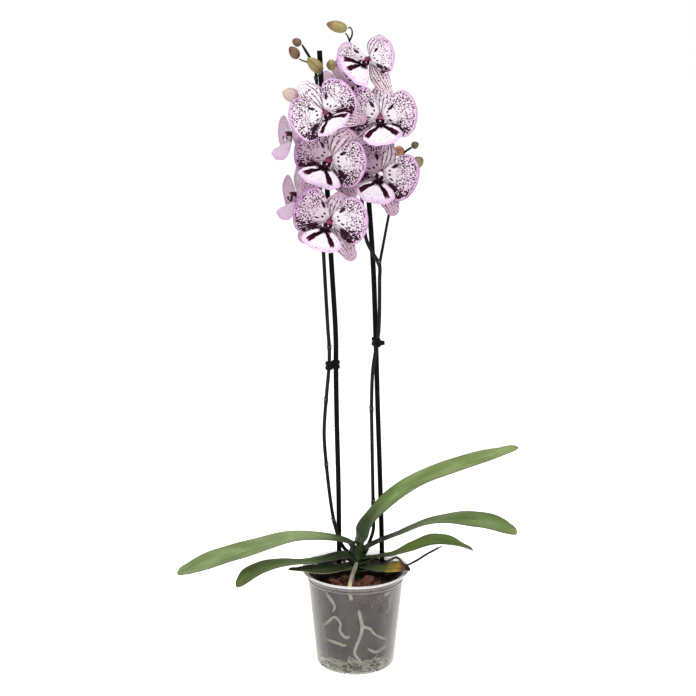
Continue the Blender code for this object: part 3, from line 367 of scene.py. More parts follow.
def soft_outline(outline, limit, window, angles):
    """Reach of a drawn outline at the angles, corners rounded; one that starts at 0 serves both sides."""
    rows = np.array(outline, float)
    dense = np.linspace(-limit, limit, 8 * limit + 1)
    reach = np.interp(dense if rows[0, 0] < 0 else np.abs(dense), rows[:, 0], rows[:, 1])
    reach = np.convolve(np.pad(reach, window // 2, mode="edge"), np.ones(window) / window, mode="valid")
    return np.interp(angles, dense, reach)


def ripple(rng, x, y, amount, low=1.0, high=4.0, terms=5):
    """Soft uneven waves over two directions."""
    total = 0.0
    for _ in range(terms):
        kx, ky, phase = rng.uniform(low, high), rng.uniform(low, high), rng.uniform(0, 6.28)
        total = total + np.sin(kx * x * rng.choice((-1, 1)) + ky * y + phase)
    return total * amount / terms


def frames(points):
    """Tangent and two cross directions at every point, carried along without twist."""
    pts = np.asarray(points, float)[:, :3]
    tangents = unit(np.gradient(pts, axis=0))
    side = np.cross(tangents[0], (0, 1, 0))
    if np.linalg.norm(side) < 0.2:
        side = np.cross(tangents[0], (1, 0, 0))
    sides = []
    for t in tangents:
        side = unit(side - t * np.dot(side, t))
        sides.append(side)
    sides = np.array(sides)
    return pts, tangents, sides, np.cross(tangents, sides)


# Shapes: each part holds its corners, faces, marks for the patterns and a material number

class Part:
    """A closed body of one piece."""

    def __init__(self, verts, faces, marks, seed=(0, 0, 0), look=0):
        self.verts = np.asarray(verts, float).reshape(-1, 3)
        self.faces = faces
        self.marks = np.asarray(marks, float).reshape(-1, 3)
        seeds = np.asarray(seed, float)
        self.seeds = seeds if seeds.ndim == 2 else np.tile(seeds, (len(self.verts), 1))
        self.look = look
        if self.volume() < 0:
            self.faces = [tuple(reversed(f)) for f in self.faces]

    def volume(self):
        """Signed volume, negative where the faces look inwards."""
        tris = np.array([(f[0], f[i], f[i + 1]) for f in self.faces for i in range(1, len(f) - 1)])
        a, b, c = (self.verts[tris[:, k]] for k in range(3))
        return float(np.sum(np.cross(a - self.verts[0], b - self.verts[0]) * (c - self.verts[0])))

    def turned(self, turn, at, scale=1.0):
        """The part scaled, turned and set down."""
        self.verts = (self.verts * scale) @ np.array(turn).T + np.array(at)
        return self


def quads(rows, cols, shift=0, wrap=False):
    """Faces of a grid of corners."""
    out = []
    for i in range(rows - 1):
        for j in range(cols if wrap else cols - 1):
            n = (j + 1) % cols
            out.append((shift + i * cols + j, shift + i * cols + n,
                        shift + (i + 1) * cols + n, shift + (i + 1) * cols + j))
    return out


def shell(grid, thick, marks, seed, look=0):
    """Closed thin blade about a grid of points."""
    rows, cols = grid.shape[:2]
    normal = unit(np.cross(np.gradient(grid, axis=0), np.gradient(grid, axis=1)))
    if float(np.sum(normal[..., 1])) > 0:
        normal = -normal
    half = np.broadcast_to(np.asarray(thick, float), (rows, cols))[..., None] / 2
    front, back = grid + normal * half, grid - normal * half
    shift = rows * cols
    faces = quads(rows, cols) + [tuple(reversed(f)) for f in quads(rows, cols, shift)]
    edge = list(range(cols)) + [i * cols + cols - 1 for i in range(1, rows)]
    edge += [(rows - 1) * cols + j for j in range(cols - 2, -1, -1)]
    edge += [i * cols for i in range(rows - 2, 0, -1)]
    for k, a in enumerate(edge):
        b = edge[(k + 1) % len(edge)]
        faces.append((a, a + shift, b + shift, b))
    seeds = np.tile(np.asarray(seed, float), (2 * shift, 1))
    seeds[:shift, 1] = 1.0
    seeds[shift:, 1] = 0.0
    verts = np.vstack([front.reshape(-1, 3), back.reshape(-1, 3)])
    flat = marks.reshape(-1, 3)
    return Part(verts, faces, np.vstack([flat, flat]), seeds, look)


def closed_rings(rows, sides):
    """Faces of a grid of rings and of its two ends, whose points follow the corners of the grid."""
    faces = quads(rows, sides, wrap=True)
    count = rows * sides
    for k in range(sides):
        n = (k + 1) % sides
        faces.append((n, k, count))
        faces.append((count - sides + k, count - sides + n, count + 1))
    return faces


def tube(points, radii, sides=12, seed=(0, 0, 0), look=0):
    """Round stem along a line; marks are share round it, length along it and share of its length."""
    pts, _, u, v = frames(points)
    radii = np.asarray(radii, float)
    r = radii if radii.ndim == 2 else radii[:, None]
    turns = np.arange(sides) * 2 * math.pi / sides
    verts = spread(pts, u, np.cos(turns) * r, v, np.sin(turns) * r).reshape(-1, 3)
    run = run_of(pts)
    marks = joined(turns[None] / FULL_TURN, run[:, None], (run / max(run[-1], 1e-6))[:, None]).reshape(-1, 3)
    verts = np.vstack([verts, pts[0], pts[-1]])
    marks = np.vstack([marks, [0, 0, 0], [0, run[-1], 1]])
    return Part(verts, closed_rings(len(pts), sides), marks, seed, look)


def turned_body(profile, sides, centre=(0, 0), seed=(0, 0, 0), wobble=None):
    """Turned body about a vertical axis; profile runs axis to axis as radius and height."""
    verts, marks, faces, rings = [], [], [], []
    for i, (r, z) in enumerate(profile):
        if r < 1e-6:
            verts.append((centre[0], centre[1], z))
            marks.append((0, z, i))
            rings.append([len(verts) - 1] * sides)
            continue
        rings.append(list(range(len(verts), len(verts) + sides)))
        for k in range(sides):
            a = 2 * math.pi * k / sides
            q = r * (1 + (wobble(a, z) if wobble else 0))
            verts.append((centre[0] + q * math.sin(a), centre[1] - q * math.cos(a), z))
            marks.append((k / sides, z, i))
    for lower, upper in zip(rings, rings[1:]):
        for k in range(sides):
            n = (k + 1) % sides
            face = [lower[k], lower[n], upper[n], upper[k]]
            face = [v for i, v in enumerate(face) if v != face[i - 1]]
            if len(face) > 2:
                faces.append(tuple(face))
    return Part(verts, faces, marks, seed)


def block(corners):
    """Box from eight corners, the lower four first."""
    faces = [(0, 3, 2, 1), (4, 5, 6, 7), (0, 1, 5, 4), (1, 2, 6, 5), (2, 3, 7, 6), (3, 0, 4, 7)]
    return Part(corners, faces, corners)


def lump(rng, centre, radii, turn, seed, corners=16):
    """Angular chunk: the hull of points strewn over a flattened ball."""
    work = bmesh.new()
    for _ in range(corners):
        p = Vector([rng.gauss(0, 1) for _ in range(3)]).normalized()
        p = Vector([math.copysign(abs(c) ** 0.7, c) for c in p])
        work.verts.new((p.x * radii[0], p.y * radii[1], p.z * radii[2]))
    bmesh.ops.convex_hull(work, input=work.verts[:])
    loose = [v for v in work.verts if not v.link_faces]
    bmesh.ops.delete(work, geom=loose, context="VERTS")
    work.verts.index_update()
    local = np.array([v.co[:] for v in work.verts])
    faces = [tuple(v.index for v in f.verts) for f in work.faces]
    work.free()
    return Part(local, faces, local, seed).turned(turn, centre)


def add_object(name, verts, faces):
    """New mesh object in the scene."""
    mesh = bpy.data.meshes.new(name)
    mesh.from_pydata(verts, [], faces)
    obj = bpy.data.objects.new(name, mesh)
    scene.collection.objects.link(obj)
    return obj


def piece(name, parts, looks, nodes, smooth=True, bend=None):
    """One object from its parts; it stands for the CAD nodes named."""
    faces, look_of, shift = [], [], 0
    for p in parts:
        faces += [tuple(v + shift for v in f) for f in p.faces]
        look_of += [p.look] * len(p.faces)
        shift += len(p.verts)
    obj = add_object(name, (np.vstack([p.verts for p in parts]) * MM).tolist(), faces)
    mesh = obj.data
    for label, values in (("mark", [p.marks for p in parts]), ("seed", [p.seeds for p in parts])):
        data = mesh.attributes.new(label, "FLOAT_VECTOR", "POINT")
        data.data.foreach_set("vector", np.vstack(values).astype(np.float32).ravel())
    for look in looks:
        mesh.materials.append(look)
    mesh.polygons.foreach_set("material_index", look_of)
    mesh.polygons.foreach_set("use_smooth", [smooth] * len(faces))
    mesh.update()
    if bend:
        mesh.set_sharp_from_angle(angle=math.radians(bend))
    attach(obj, "root")
    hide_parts(*nodes)
    return obj


# Materials: a small language for node graphs

def rgb(red, green, blue):
    """Screen colour, 0 to 255, as the linear colour that a shader takes."""
    out = []
    for c in (red, green, blue):
        c = c / 255
        out.append(c / 12.92 if c <= 0.04045 else ((c + 0.055) / 1.055) ** 2.4)
    return (*out, 1.0)


def operator(operation, swap=False):
    """Method that adds one arithmetic node; swap puts the value second."""
    def method(self, other=None):
        first, second = (other, self) if swap else (self, other)
        return self.graph.calc(operation, first, second)
    return method


class Val:
    """A value in a node graph that takes plain arithmetic."""

    def __init__(self, graph, socket):
        self.graph = graph
        self.socket = socket

    __add__ = __radd__ = operator("ADD")
    __sub__ = operator("SUBTRACT")
    __rsub__ = operator("SUBTRACT", swap=True)
    __mul__ = __rmul__ = operator("MULTIPLY")
    __truediv__ = operator("DIVIDE")
    __pow__ = operator("POWER")
    __abs__ = operator("ABSOLUTE")
    sin = operator("SINE")
    fract = operator("FRACT")
    least = operator("MINIMUM")
    most = operator("MAXIMUM")


class Graph:
    """Node graph of one material."""

    def __init__(self, name):
        self.mat = bpy.data.materials.new(name)
        self.mat.use_nodes = True
        self.nodes = self.mat.node_tree.nodes
        self.links = self.mat.node_tree.links
        self.nodes.clear()

    def put(self, socket, value):
        """Link or set one input."""
        if isinstance(value, Val):
            self.links.new(value.socket, socket)
        elif value is not None:
            socket.default_value = value

    def calc(self, operation, a, b=None):
        """One arithmetic node."""
        node = self.nodes.new("ShaderNodeMath")
        node.operation = operation
        self.put(node.inputs[0], a)
        self.put(node.inputs[1], b)
        return Val(self, node.outputs[0])

    def three(self, label):
        """The three numbers of a mesh attribute."""
        node = self.nodes.new("ShaderNodeAttribute")
        node.attribute_name = label
        split = self.nodes.new("ShaderNodeSeparateXYZ")
        self.links.new(node.outputs["Vector"], split.inputs[0])
        return [Val(self, s) for s in split.outputs]

    def place(self):
        """Position in millimetres."""
        node = self.nodes.new("ShaderNodeTexCoord")
        split = self.nodes.new("ShaderNodeSeparateXYZ")
        self.links.new(node.outputs["Object"], split.inputs[0])
        return [Val(self, s) * 1000.0 for s in split.outputs]

    def join(self, x, y, z=0.0):
        """Vector from three values."""
        node = self.nodes.new("ShaderNodeCombineXYZ")
        for socket, value in zip(node.inputs, (x, y, z)):
            self.put(socket, value)
        return Val(self, node.outputs[0])

    def ramp(self, value, low, high, start=0.0, end=1.0):
        """Smooth change from start to end as the value goes from low to high."""
        node = self.nodes.new("ShaderNodeMapRange")
        node.interpolation_type = "SMOOTHSTEP"
        keys = ("Value", "From Min", "From Max", "To Min", "To Max")
        for key, v in zip(keys, (value, low, high, start, end)):
            self.put(node.inputs[key], v)
        return Val(self, node.outputs["Result"])

    def mix(self, share, a, b):
        """Colour between a and b."""
        node = self.nodes.new("ShaderNodeMix")
        node.data_type = "RGBA"
        for k, v in ((0, share), (6, a), (7, b)):
            self.put(node.inputs[k], v)
        return Val(self, node.outputs[2])

    def noise(self, place, detail, rough=0.5):
        """Soft random value about 0.5 at a place of three values."""
        vector = self.join(*place)
        node = self.nodes.new("ShaderNodeTexNoise")
        for key, v in (("Vector", vector), ("Scale", 1.0), ("Detail", detail), ("Roughness", rough)):
            self.put(node.inputs[key], v)
        return Val(self, node.outputs[0])

    def cells(self, place, random_share):
        """Distance from a place of two values to the nearest strewn point, and two random numbers of it."""
        vector = self.join(*place)
        node = self.nodes.new("ShaderNodeTexVoronoi")
        node.voronoi_dimensions = "2D"
        for key, v in (("Vector", vector), ("Scale", 1.0), ("Randomness", random_share)):
            self.put(node.inputs[key], v)
        split = self.nodes.new("ShaderNodeSeparateColor")
        self.links.new(node.outputs["Color"], split.inputs[0])
        return [Val(self, s) for s in (node.outputs["Distance"], split.outputs[0], split.outputs[1])]

    def facing(self, blend):
        """0 face on, 1 at the rim of a form."""
        node = self.nodes.new("ShaderNodeLayerWeight")
        node.inputs["Blend"].default_value = blend
        return Val(self, node.outputs["Facing"])

    def done(self, colour, rough, height=None, relief=0.2, **sockets):
        """Close the graph; relief is the height of the bumps in millimetres."""
        shader = self.nodes.new("ShaderNodeBsdfPrincipled")
        out = self.nodes.new("ShaderNodeOutputMaterial")
        self.links.new(shader.outputs[0], out.inputs["Surface"])
        self.put(shader.inputs["Base Color"], colour)
        self.put(shader.inputs["Roughness"], rough)
        if height is not None:
            bump = self.nodes.new("ShaderNodeBump")
            bump.inputs["Strength"].default_value = 1.0
            bump.inputs["Distance"].default_value = relief * MM
            self.put(bump.inputs["Height"], height)
            self.links.new(bump.outputs[0], shader.inputs["Normal"])
        for key, value in sockets.items():
            self.put(shader.inputs[key.replace("_", " ")], value)
        return self.mat


def petal_skin():
    """Petals: pale ground, radial rows of dark dots, blotches near the column, lilac margin, and a mauve
    flush of painted shade.
    """
    g = Graph("petal_skin")
    a, r, s = g.three("mark")
    seed, front, shade_flush = g.three("seed")
    warp = g.noise((a * 3.0, r * 0.07, seed * 7.0), 2.0) - 0.5
    ragged = g.noise((a * 13.0, r * 0.45, seed * 5.0), 2.0) - 0.5
    low = g.ramp(a, 0.05, -0.55)
    side = g.ramp(abs(a), 0.05, 0.75)
    patchy = g.ramp(g.noise((a * 5.0, r * 0.12, seed * 3.1), 1.0), 0.30, 0.66)
    dense = g.ramp(s, 0.28, 0.54) * (0.60 + side * 0.26 + low * side * 0.34) * (0.66 + patchy * 0.55)
    dense = dense * g.ramp(s, 0.97, 0.90) * g.ramp(shade_flush, 0.0, 0.03, 0.70, 1.0)
    across = a * 17.5 + warp * 1.0 + seed * 9.0
    near, pick, size = g.cells((across, r * 0.37 + warp * 2.0), 0.74)
    reach = 0.27 + dense * 0.19 + (size - 0.5) * 0.20 + low * side * (0.05 + patchy * 0.16)
    dots = g.ramp(near + ragged * 0.24, reach, reach - 0.09)
    dots = dots * g.ramp(pick, dense * 1.35 + 0.05, dense * 1.35 - 0.03)
    near, pick, _ = g.cells((across * 1.1, r * 0.13 + warp * 2.0), 0.6)
    dashes = g.ramp(near, 0.17, 0.10) * g.ramp(pick, 0.50, 0.42)
    dashes = dashes * g.ramp(s, 0.18, 0.30) * g.ramp(s, 0.62, 0.50)
    half_angle = 1.02             # PETAL_HALF_ANGLE in radians
    around = a * half_angle * r

    def blotch(angle, length, wide, tall):
        """Ragged dark spot at an angle and a distance from the column."""
        sideways = (around - r * (angle * half_angle)) / wide
        along = (r - length) / tall
        return g.ramp((sideways * sideways + along * along) ** 0.5 + ragged * 1.1, 1.2, 0.8)

    shift = (seed * 3.3).fract() - 0.5
    marks = blotch(shift * 0.14 + 0.66, shift * 3.0 + 17.0, 1.7, 4.2)
    marks = marks.most(blotch(shift * -0.10 - 0.66, 19.5 - shift * 2.0, 2.8, 6.6))
    marks = marks.most(blotch(shift * 0.16 - 0.84, shift * 4.0 + 27.0, 2.2, 3.0))
    marks = marks.most(blotch(0.04, 9.3, 1.1, 1.5)).most(blotch(0.48, 9.6, 1.0, 1.3))
    marks = marks.most(blotch(shift * 0.2 - 0.30, 13.0 + shift * 3.0, 0.9, 2.4))
    lines = g.ramp((a * 34.0 + warp * 3.0).sin(), -0.2, 0.4) * g.ramp(abs(a + 0.76), 0.32, 0.22)
    lines = lines * g.ramp(r, 4.0, 6.0) * g.ramp(r + ragged * 7.0, 19.0, 15.0)
    dark = marks.most(dots).most(lines * 0.9).most(dashes * 0.75)

    veins = g.ramp(abs((a * 36.0 + warp * 2.5).sin()), 0.25, 0.0)
    veins = veins * g.ramp(s, 0.05, 0.3) * g.ramp(s, 0.85, 0.6)
    ground = g.mix(g.ramp(s, 0.15, 0.85), rgb(244, 238, 242), rgb(228, 210, 223))
    ground = g.mix(g.ramp(warp, -0.10, 0.16) * 0.25, ground, rgb(210, 184, 202))
    # Mauve flush: painted shade over the ground
    ground = g.mix(shade_flush, ground, rgb(158, 116, 144))
    ground = g.mix(veins * 0.16, ground, rgb(170, 142, 160))
    ground = g.mix(lines.most(g.ramp(r, 8.0, 4.0)) * 0.4, ground, rgb(196, 150, 160))
    edge = g.ramp(s + ragged * 0.08, 0.80, 0.99)
    # The margin darkens with the flush too: painted shade
    rim = g.mix(g.ramp(shade_flush + warp, 0.15, 0.6), rgb(204, 156, 200), rgb(150, 98, 150))
    ground = g.mix(edge * (0.58 + patchy * 0.24), ground, rim)
    ground = g.mix(g.ramp(s + ragged * 0.05, 0.955, 0.995) * 0.5, ground, rgb(140, 86, 148))
    ink = g.mix(g.ramp(size, 0.2, 0.9), rgb(24, 2, 16), rgb(52, 5, 34))
    colour = g.mix(dark * (0.30 + front * 0.69), ground, ink)
    colour = g.mix((1.0 - front) * 0.4, colour, rgb(206, 174, 196))
    height = veins * 0.4 + warp * 2.0
    return g.done(colour, g.ramp(warp, -0.2, 0.2, 0.6, 0.75), height, 0.35, Specular_IOR_Level=0.06)


def sepal_skin():
    """Sepals: greyish cream, the grey partly painted shade, with stripes along them, dots further out and a
    pink tip.
    """
    g = Graph("sepal_skin")
    v, r, s = g.three("mark")
    seed, front, bold = g.three("seed")
    warp = g.noise((v * 1.5, r * 0.08, seed * 7.0), 2.0) - 0.5
    ragged = g.noise((v * 6.0, r * 0.5, seed * 5.0), 2.0) - 0.5
    wave = (v * 20.0 + warp * 2.4 + seed * 6.0).sin()
    broken = g.ramp(g.noise((v * 3.0, r * 0.30, seed * 2.0), 2.0) + s * -0.25, 0.28, 0.40)
    stripes = g.ramp(wave, 0.15, 0.65) * g.ramp(s, 0.03, 0.14)
    stripes = stripes * g.ramp(s, 0.97, 0.85) * (0.35 + broken * 0.65)
    near, pick, size = g.cells((v * 4.9 + seed * 9.0, r * 0.30 + warp * 2.0), 0.55)
    reach = 0.24 + (size - 0.5) * 0.2
    dots = g.ramp(near + ragged * 0.12, reach, reach - 0.10) * g.ramp(pick, 0.82, 0.72)
    dots = dots * g.ramp(s, 0.30, 0.50) * g.ramp(s, 0.98, 0.90) * g.ramp(abs(v), 0.98, 0.88)
    ground = g.mix(g.ramp(s, 0.40, 0.95), rgb(210, 194, 202), rgb(198, 168, 188))
    ground = g.mix(g.ramp(warp, -0.1, 0.14) * 0.4, ground, rgb(176, 148, 164))
    ground = g.mix(g.ramp(s, 0.90, 1.0) * 0.6, ground, rgb(190, 108, 154))
    # Whiter ground for the upper flowers; the greyer ground kept elsewhere is partly painted shade
    ground = g.mix(g.ramp(bold, 0.0, -1.0) * 0.8, ground, rgb(240, 232, 240))
    margin = g.ramp(abs(v) + ragged * 0.1, 0.70, 0.95) * g.ramp(bold, 0.0, -1.0)
    ground = g.mix(margin * 0.5, ground, rgb(214, 170, 214))
    ground = g.mix(g.ramp(s, 0.22, 0.0), ground, rgb(196, 178, 162))
    ground = g.mix(g.ramp(abs(v) + ragged * 0.1, 0.86, 1.0) * 0.6, ground, rgb(178, 124, 176))
    bold = bold.most(0.0)
    ground = g.mix(bold * 0.6, ground, rgb(232, 216, 222))
    brown = g.mix(bold, rgb(72, 20, 50), rgb(96, 26, 34))
    colour = g.mix(stripes * (0.84 + bold * 0.14), ground, brown)
    colour = g.mix(dots * (0.30 + front * 0.65), colour, rgb(64, 14, 44))
    colour = g.mix((1.0 - front) * 0.4, colour, rgb(196, 164, 182))
    height = wave * 0.5 + warp * 2.0
    return g.done(colour, 0.7, height, 0.3, Specular_IOR_Level=0.08)


def lip_skin():
    """Lip: white with two ragged maroon arms that bend outwards, a dark root and a lilac margin."""
    g = Graph("lip_skin")
    a, r, s = g.three("mark")
    seed, left, right = g.three("seed")
    ragged = g.noise((a * 7.0, r * 0.35, seed * 5.0), 2.0) - 0.5
    fine = g.noise((a * 22.0, r * 0.9, seed * 3.0), 1.0) - 0.5
    degree = math.radians(LIP_HALF_ANGLE * LIP_SPREAD)

    def arm(angle, sign):
        """Dark band from the throat that ends in a ragged club."""
        bent = angle * g.ramp(r, 3.0, 17.0, 0.55, 1.0)
        away = abs(((a * degree - bent * (sign * math.radians(1))).sin()) * r + ragged * 2.4) + fine * 1.1
        wide = g.ramp(r, 4.0, 21.0, 1.6, 3.1)
        return g.ramp(away, wide + 0.4, wide - 0.4) * g.ramp(r + ragged * 7.0, 25.5, 23.0)

    arms = arm(left, -1.0).most(arm(right, 1.0)) * g.ramp(left, 58.0, 57.0)
    root = g.ramp(r + ragged * 6.0 + fine * 2.0, 10.0, 7.0) * g.ramp(left, 58.0, 57.0)
    fringe = g.ramp((a * 46.0 + ragged * 4.0).sin(), 0.2, 0.9)
    fringe = fringe * g.ramp(s, 0.25, 0.45) * g.ramp(s, 0.8, 0.6)
    near, pick, _ = g.cells((a * 8.0 + seed * 9.0, r * 0.34), 0.9)
    dots = g.ramp(near, 0.24, 0.14) * g.ramp(pick, 0.24, 0.18) * g.ramp(s, 0.55, 0.7) * g.ramp(s, 0.97, 0.9)
    ground = g.mix(g.ramp(r, 3.0, 14.0), rgb(210, 180, 192), rgb(233, 225, 234))
    ground = g.mix(g.ramp(left, 58.0, 60.0) * g.ramp(left, 70.0, 65.0), ground, rgb(222, 196, 218))
    ground = g.mix(fringe * 0.40, ground, rgb(170, 140, 158))
    ground = g.mix(g.ramp(ragged, 0.02, 0.16) * 0.35, ground, rgb(212, 188, 214))
    ground = g.mix(g.ramp(s + ragged * 0.10, 0.68, 0.99) * 0.68, ground, rgb(212, 164, 212))
    ink = g.mix(g.ramp(r + ragged * 12.0, 8.0, 24.0), rgb(20, 1, 9), rgb(54, 3, 23))
    colour = g.mix(dots * 0.85, g.mix(arms.most(root), ground, ink), rgb(96, 20, 60))
    return g.done(colour, 0.6, ragged, 0.4, Specular_IOR_Level=0.05)


def throat_skin():
    """Callus: near-black maroon with a pale spot on top, a painted highlight."""
    g = Graph("throat_skin")
    x, y, z = g.three("mark")
    _, pale, _ = g.three("seed")
    grain = g.noise((x * 1.2, y * 1.2, z * 1.2), 3.0)
    colour = g.mix(g.ramp(grain, 0.35, 0.7), rgb(24, 6, 18), rgb(70, 14, 40))
    # Pale where the seed says so; on the small ball atop the callus this is a painted highlight
    colour = g.mix(pale * g.ramp(grain, 0.30, 0.55), colour, rgb(236, 220, 228))
    return g.done(colour, 0.5, grain, 0.3, Specular_IOR_Level=0.08)


def column_skin():
    """Column: magenta with a maroon collar and a paler cap."""
    g = Graph("column_skin")
    around, run, s = g.three("mark")
    seed, pale, _ = g.three("seed")
    grain = g.noise((around * 9.0, run * 0.7, seed * 5.0), 2.0)
    colour = g.mix(g.ramp(s, 0.35, 0.85), rgb(54, 5, 30), rgb(120, 17, 66))
    colour = g.mix(pale * g.ramp(s, 0.66, 0.85), colour, rgb(244, 228, 236))
    collar = g.ramp(abs(s + (grain - 0.5) * 0.2 - 0.55), 0.15, 0.06)
    colour = g.mix(collar * 0.9, colour, rgb(84, 12, 48))
    colour = g.mix(g.ramp(grain, 0.52, 0.72) * 0.5, colour, rgb(120, 24, 72))
    return g.done(colour, 0.45, grain, 0.2, Specular_IOR_Level=0.25)


def leaf_skin(name, top, light, under, tip, tip_from, base, edge=(62, 60, 60)):
    """Leaf: fine veins along it, a pale midrib, a dark thin edge, an ageing tip and a base darkened by
    painted shade.
    """
    g = Graph(name)
    top, light, under, edge = (rgb(*c) for c in (top, light, under, edge))
    v, run, s = g.three("mark")
    seed, upper, _ = g.three("seed")
    broad = g.noise((v * 0.9, run * 0.022, seed * 4.0), 3.0)
    veins = g.noise((v * 26.0 + broad * 3.0, run * 0.022, seed * 2.0), 2.0)
    fleck = g.noise((v * 16.0, run * 0.9, seed), 3.0)
    colour = g.mix(g.ramp(broad, 0.32, 0.68), top, light)
    colour = g.mix(g.ramp(veins, 0.40, 0.72) * 0.30, colour, rgb(138, 158, 78))
    colour = g.mix(g.ramp(fleck, 0.58, 0.75) * 0.22, colour, rgb(74, 96, 48))
    lower = g.mix(g.ramp(veins, 0.35, 0.7) * 0.5, under, rgb(126, 140, 104))
    colour = g.mix(upper, lower, colour)
    rib = g.ramp(abs(v), 0.055, 0.012)
    colour = g.mix(rib * 0.45, colour, rgb(176, 192, 118))
    reach, share = base
    # Painted shade: the base darkens where it sits in the shade round the crown
    colour = g.mix(g.ramp(s + (broad - 0.5) * 0.1, reach, reach * 0.3) * share, colour, rgb(24, 40, 14))
    fold = g.ramp(abs(v - 0.1), 0.5, 0.1) * g.ramp(s, 0.30, 0.05) * (1.0 - upper)
    colour = g.mix(fold * 0.5, colour, rgb(116, 150, 48))
    colour = g.mix(g.ramp(abs(v) + (fleck - 0.5) * 0.05, 0.93, 0.985) * 0.75, colour, edge)
    old = g.ramp(s + (fleck - 0.5) * 0.04 + (abs(v) - 0.5) * 0.02, tip_from, tip_from + 0.05)
    for share, shade in tip:
        ragged = s + (fleck - 0.5) * 0.05 + (veins - 0.5) * 0.10
        colour = g.mix(g.ramp(ragged, tip_from + share, tip_from + share + 0.08), colour, rgb(*shade))
    rough = g.ramp(broad + veins * 0.3, 0.35, 0.85, 0.30, 0.46) + old * 0.15
    height = veins * 1.0 + fleck * 0.35 - rib * 0.6
    return g.done(colour, rough, height, 0.28, Specular_IOR_Level=0.25)


def bark_skin():
    """Bark chips: red-brown with orange streaks along the grain and dark pits; chips in shadow are painted
    near-black.
    """
    g = Graph("bark_skin")
    x, y, z = g.three("mark")
    pick, other, deep = g.three("seed")
    grain = g.noise((x * 0.16 + pick * 20.0, y * 1.3, z * 2.2 + other * 9.0), 4.0, 0.6)
    pits = g.noise((x * 0.7 + other * 30.0, y * 0.9, z * 0.9), 3.0, 0.6)
    colour = g.mix(g.ramp(pick, 0.0, 1.0), rgb(70, 40, 33), rgb(114, 66, 50))
    colour = g.mix(g.ramp(grain, 0.52, 0.66) * 0.75, colour, rgb(168, 104, 66))
    colour = g.mix(g.ramp(grain, 0.48, 0.36) * 0.8, colour, rgb(36, 20, 18))
    colour = g.mix(g.ramp(pits, 0.60, 0.72) * 0.8, colour, rgb(26, 15, 14))
    colour = g.mix(g.ramp(other, 0.72, 0.9) * 0.35, colour, rgb(150, 126, 108))
    # deep: painted shade, near-black for chips that lie in shadow
    colour = g.mix(deep, colour, rgb(28, 21, 19))
    return g.done(colour, 0.85, grain + pits * 0.6, 1.1)


def root_skin(name, pale, dull, glow, tip=None):
    """Roots: papery skin with dull patches; the open end may be greener; glow makes them shine by themselves
    as painted light.
    """
    g = Graph(name)
    around, run, _ = g.three("mark")
    seed, _, _ = g.three("seed")
    patch = g.noise((around * 2.0, run * 0.10, seed * 6.0), 3.0)
    grain = g.noise((around * 12.0, run * 0.9, seed), 3.0)
    colour = g.mix(g.ramp(patch, 0.38, 0.66), pale, dull)
    streak = g.noise((around * 7.0, run * 0.25, seed * 3.0), 3.0)
    colour = g.mix(g.ramp(streak, 0.56, 0.70) * 0.45, colour, rgb(104, 94, 72))
    colour = g.mix(g.ramp(grain, 0.55, 0.75) * 0.35, colour, rgb(112, 106, 88))
    if tip:
        colour = g.mix(g.ramp(run, tip[0], tip[1]), colour, tip[2])
    return g.done(colour, 0.7, grain, 0.35, Emission_Color=colour, Emission_Strength=glow)


